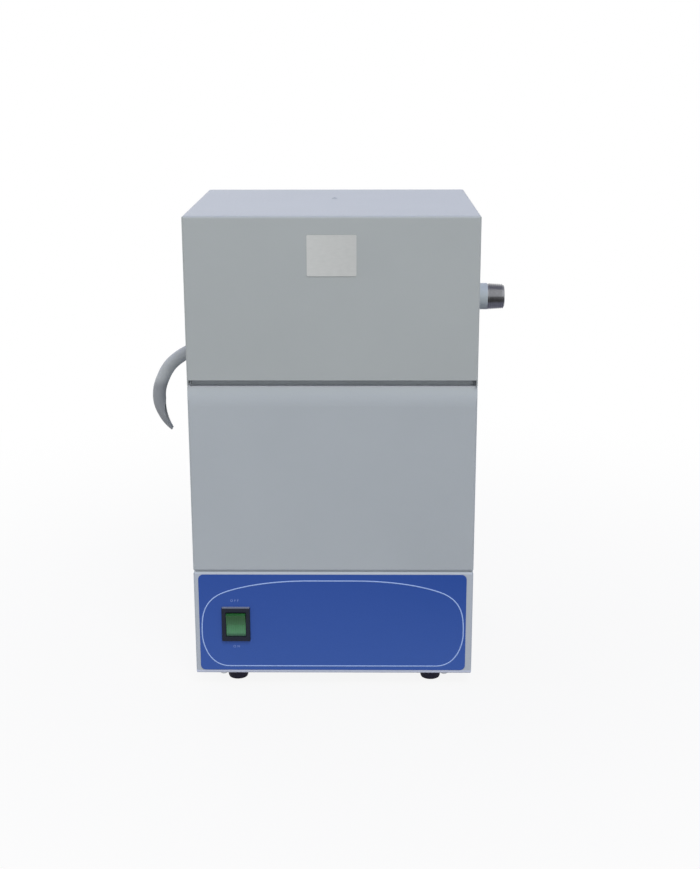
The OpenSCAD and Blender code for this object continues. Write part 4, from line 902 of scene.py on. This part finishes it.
long_side, short_side = scaled(screw, head_d, 0.52), scaled(screw, head_d, 0.12)
deep = scaled(screw, head_h, 1.2)
for wide, narrow in ((long_side, short_side), (short_side, long_side)):
    size = add(screw, "ShaderNodeCombineXYZ", links={"X": wide, "Y": narrow, "Z": deep})
    bar = add(screw, "GeometryNodeMeshCube", links={"Size": size.outputs[0]})
    screw.links.new(shifted(screw, bar.outputs[0], head_h), recess.inputs[1])
shank = add(screw, "GeometryNodeMeshCylinder", values={"Vertices": 20},
            links={"Radius": scaled(screw, start.outputs["Shank"], 0.5), "Depth": start.outputs["Length"]})
whole = add(screw, "GeometryNodeJoinGeometry")
half_down = scaled(screw, start.outputs["Length"], -0.5)
screw.links.new(shifted(screw, shank.outputs[0], half_down), whole.inputs[0])
screw.links.new(recess.outputs[0], whole.inputs[0])
turned = add(screw, "FunctionNodeAlignRotationToVector", {"axis": "Z"},
             links={"Vector": start.outputs["Direction"]})
copies = add(screw, "GeometryNodeInstanceOnPoints", links={
    "Points": start.outputs[0], "Instance": whole.outputs[0], "Rotation": turned.outputs[0]})
finish_tree(screw, end, copies.outputs[0], zinc_plate)
print("screw tree:", len(screw.nodes), "nodes")

# %% Rows of screws
MID_Z, HOOD_TOP = 109.2, 418.0
SHEET = 1.2
EDGE_X = HALF_WIDTH - SHEET - 6
M4 = {"Head Diameter": 7.0, "Head Height": 2.8, "Shank": 4.0}
rows = {
    "rear_screws": ((0, 1, 0), 7, [(x, BACK, z) for x in (-EDGE_X, EDGE_X) for z in (127.2, 191.85, 256.5)]),
    "cheek_screws": ((0, 0, 1), 7, [(x, y, MID_TOP + SHEET) for x in (-EDGE_X, EDGE_X) for y in (45.5, 171)]),
    "deck_screws": ((0, 0, 1), 8, [(x, y, MID_Z + SHEET) for x in (-EDGE_X, EDGE_X) for y in (38.5, 185)]),
    "panel_screws": ((0, 0, -1), 8, [(x, 6, BASE_Z) for x in (-98.5, 98.5)]),
    "foot_screws": ((0, 0, -1), 14.4, [(x, y, 6) for x in (-87, 87) for y in (21, 192)]),
}


def screw_row(name, direction, sizes, places):
    """One mesh of screws whose heads sit on the given cabinet places."""
    seed = bpy.data.meshes.new(name + "_seed")
    seed.from_pydata([at(*p) for p in places], [], [])
    values = {label: size * MM for label, size in sizes.items()}
    return grow(name + "_crossed", new_object(name + "_seed", seed), screw, ids,
                {**values, "Direction": direction})


for node_name, (direction, length, places) in rows.items():
    row = screw_row(node_name, direction, {**M4, "Length": length}, places)
    smooth_shaded(row.data, 30)
    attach(row, "cabinet")
    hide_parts(node_name)
    print(node_name, len(places), "screws,", len(row.data.polygons), "faces")

# %% The painted screw on the hood
LOW_HEAD = {"Head Diameter": 6.0, "Head Height": 1.2, "Shank": 4.0, "Length": 10}
hood_screw = screw_row("hood_screw", (0, 0, 1), LOW_HEAD, [(0, 130, HOOD_TOP)])
smooth_shaded(hood_screw.data, 30)
hood_screw.data.materials.clear()
hood_screw.data.materials.append(hood_paint_shaded)
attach(hood_screw, "hood")
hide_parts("hood_screw")
print("hood screw:", len(hood_screw.data.polygons), "faces")

# %% [markdown]
# Moulded parts never have knife edges. CAD leaves the switch and its rocker sharp, and their meshes are
# loose triangles. A Weld modifier joins those and a Bevel rounds what is sharper than forty degrees,
# without touching the part's own mesh, so the frame stays as it was packed.

# %% Soften the moulded edges


def soften(node_name, radius):
    """Round a CAD part's sharp edges by a radius in millimetres, with live modifiers."""
    part = frame["nodes"][node_name]
    weld = part.modifiers.new("weld", "WELD")
    weld.merge_threshold = 0.002 * MM
    rounding = part.modifiers.new("rounding", "BEVEL")
    rounding.width = radius * MM
    rounding.segments = 3
    rounding.limit_method = "ANGLE"
    rounding.angle_limit = math.radians(40)


for node_name, radius in (("switch_body", 0.4), ("switch_rocker", 0.5), ("cable_gland", 0.4)):
    soften(node_name, radius)
print("softened switch_body, switch_rocker and cable_gland")
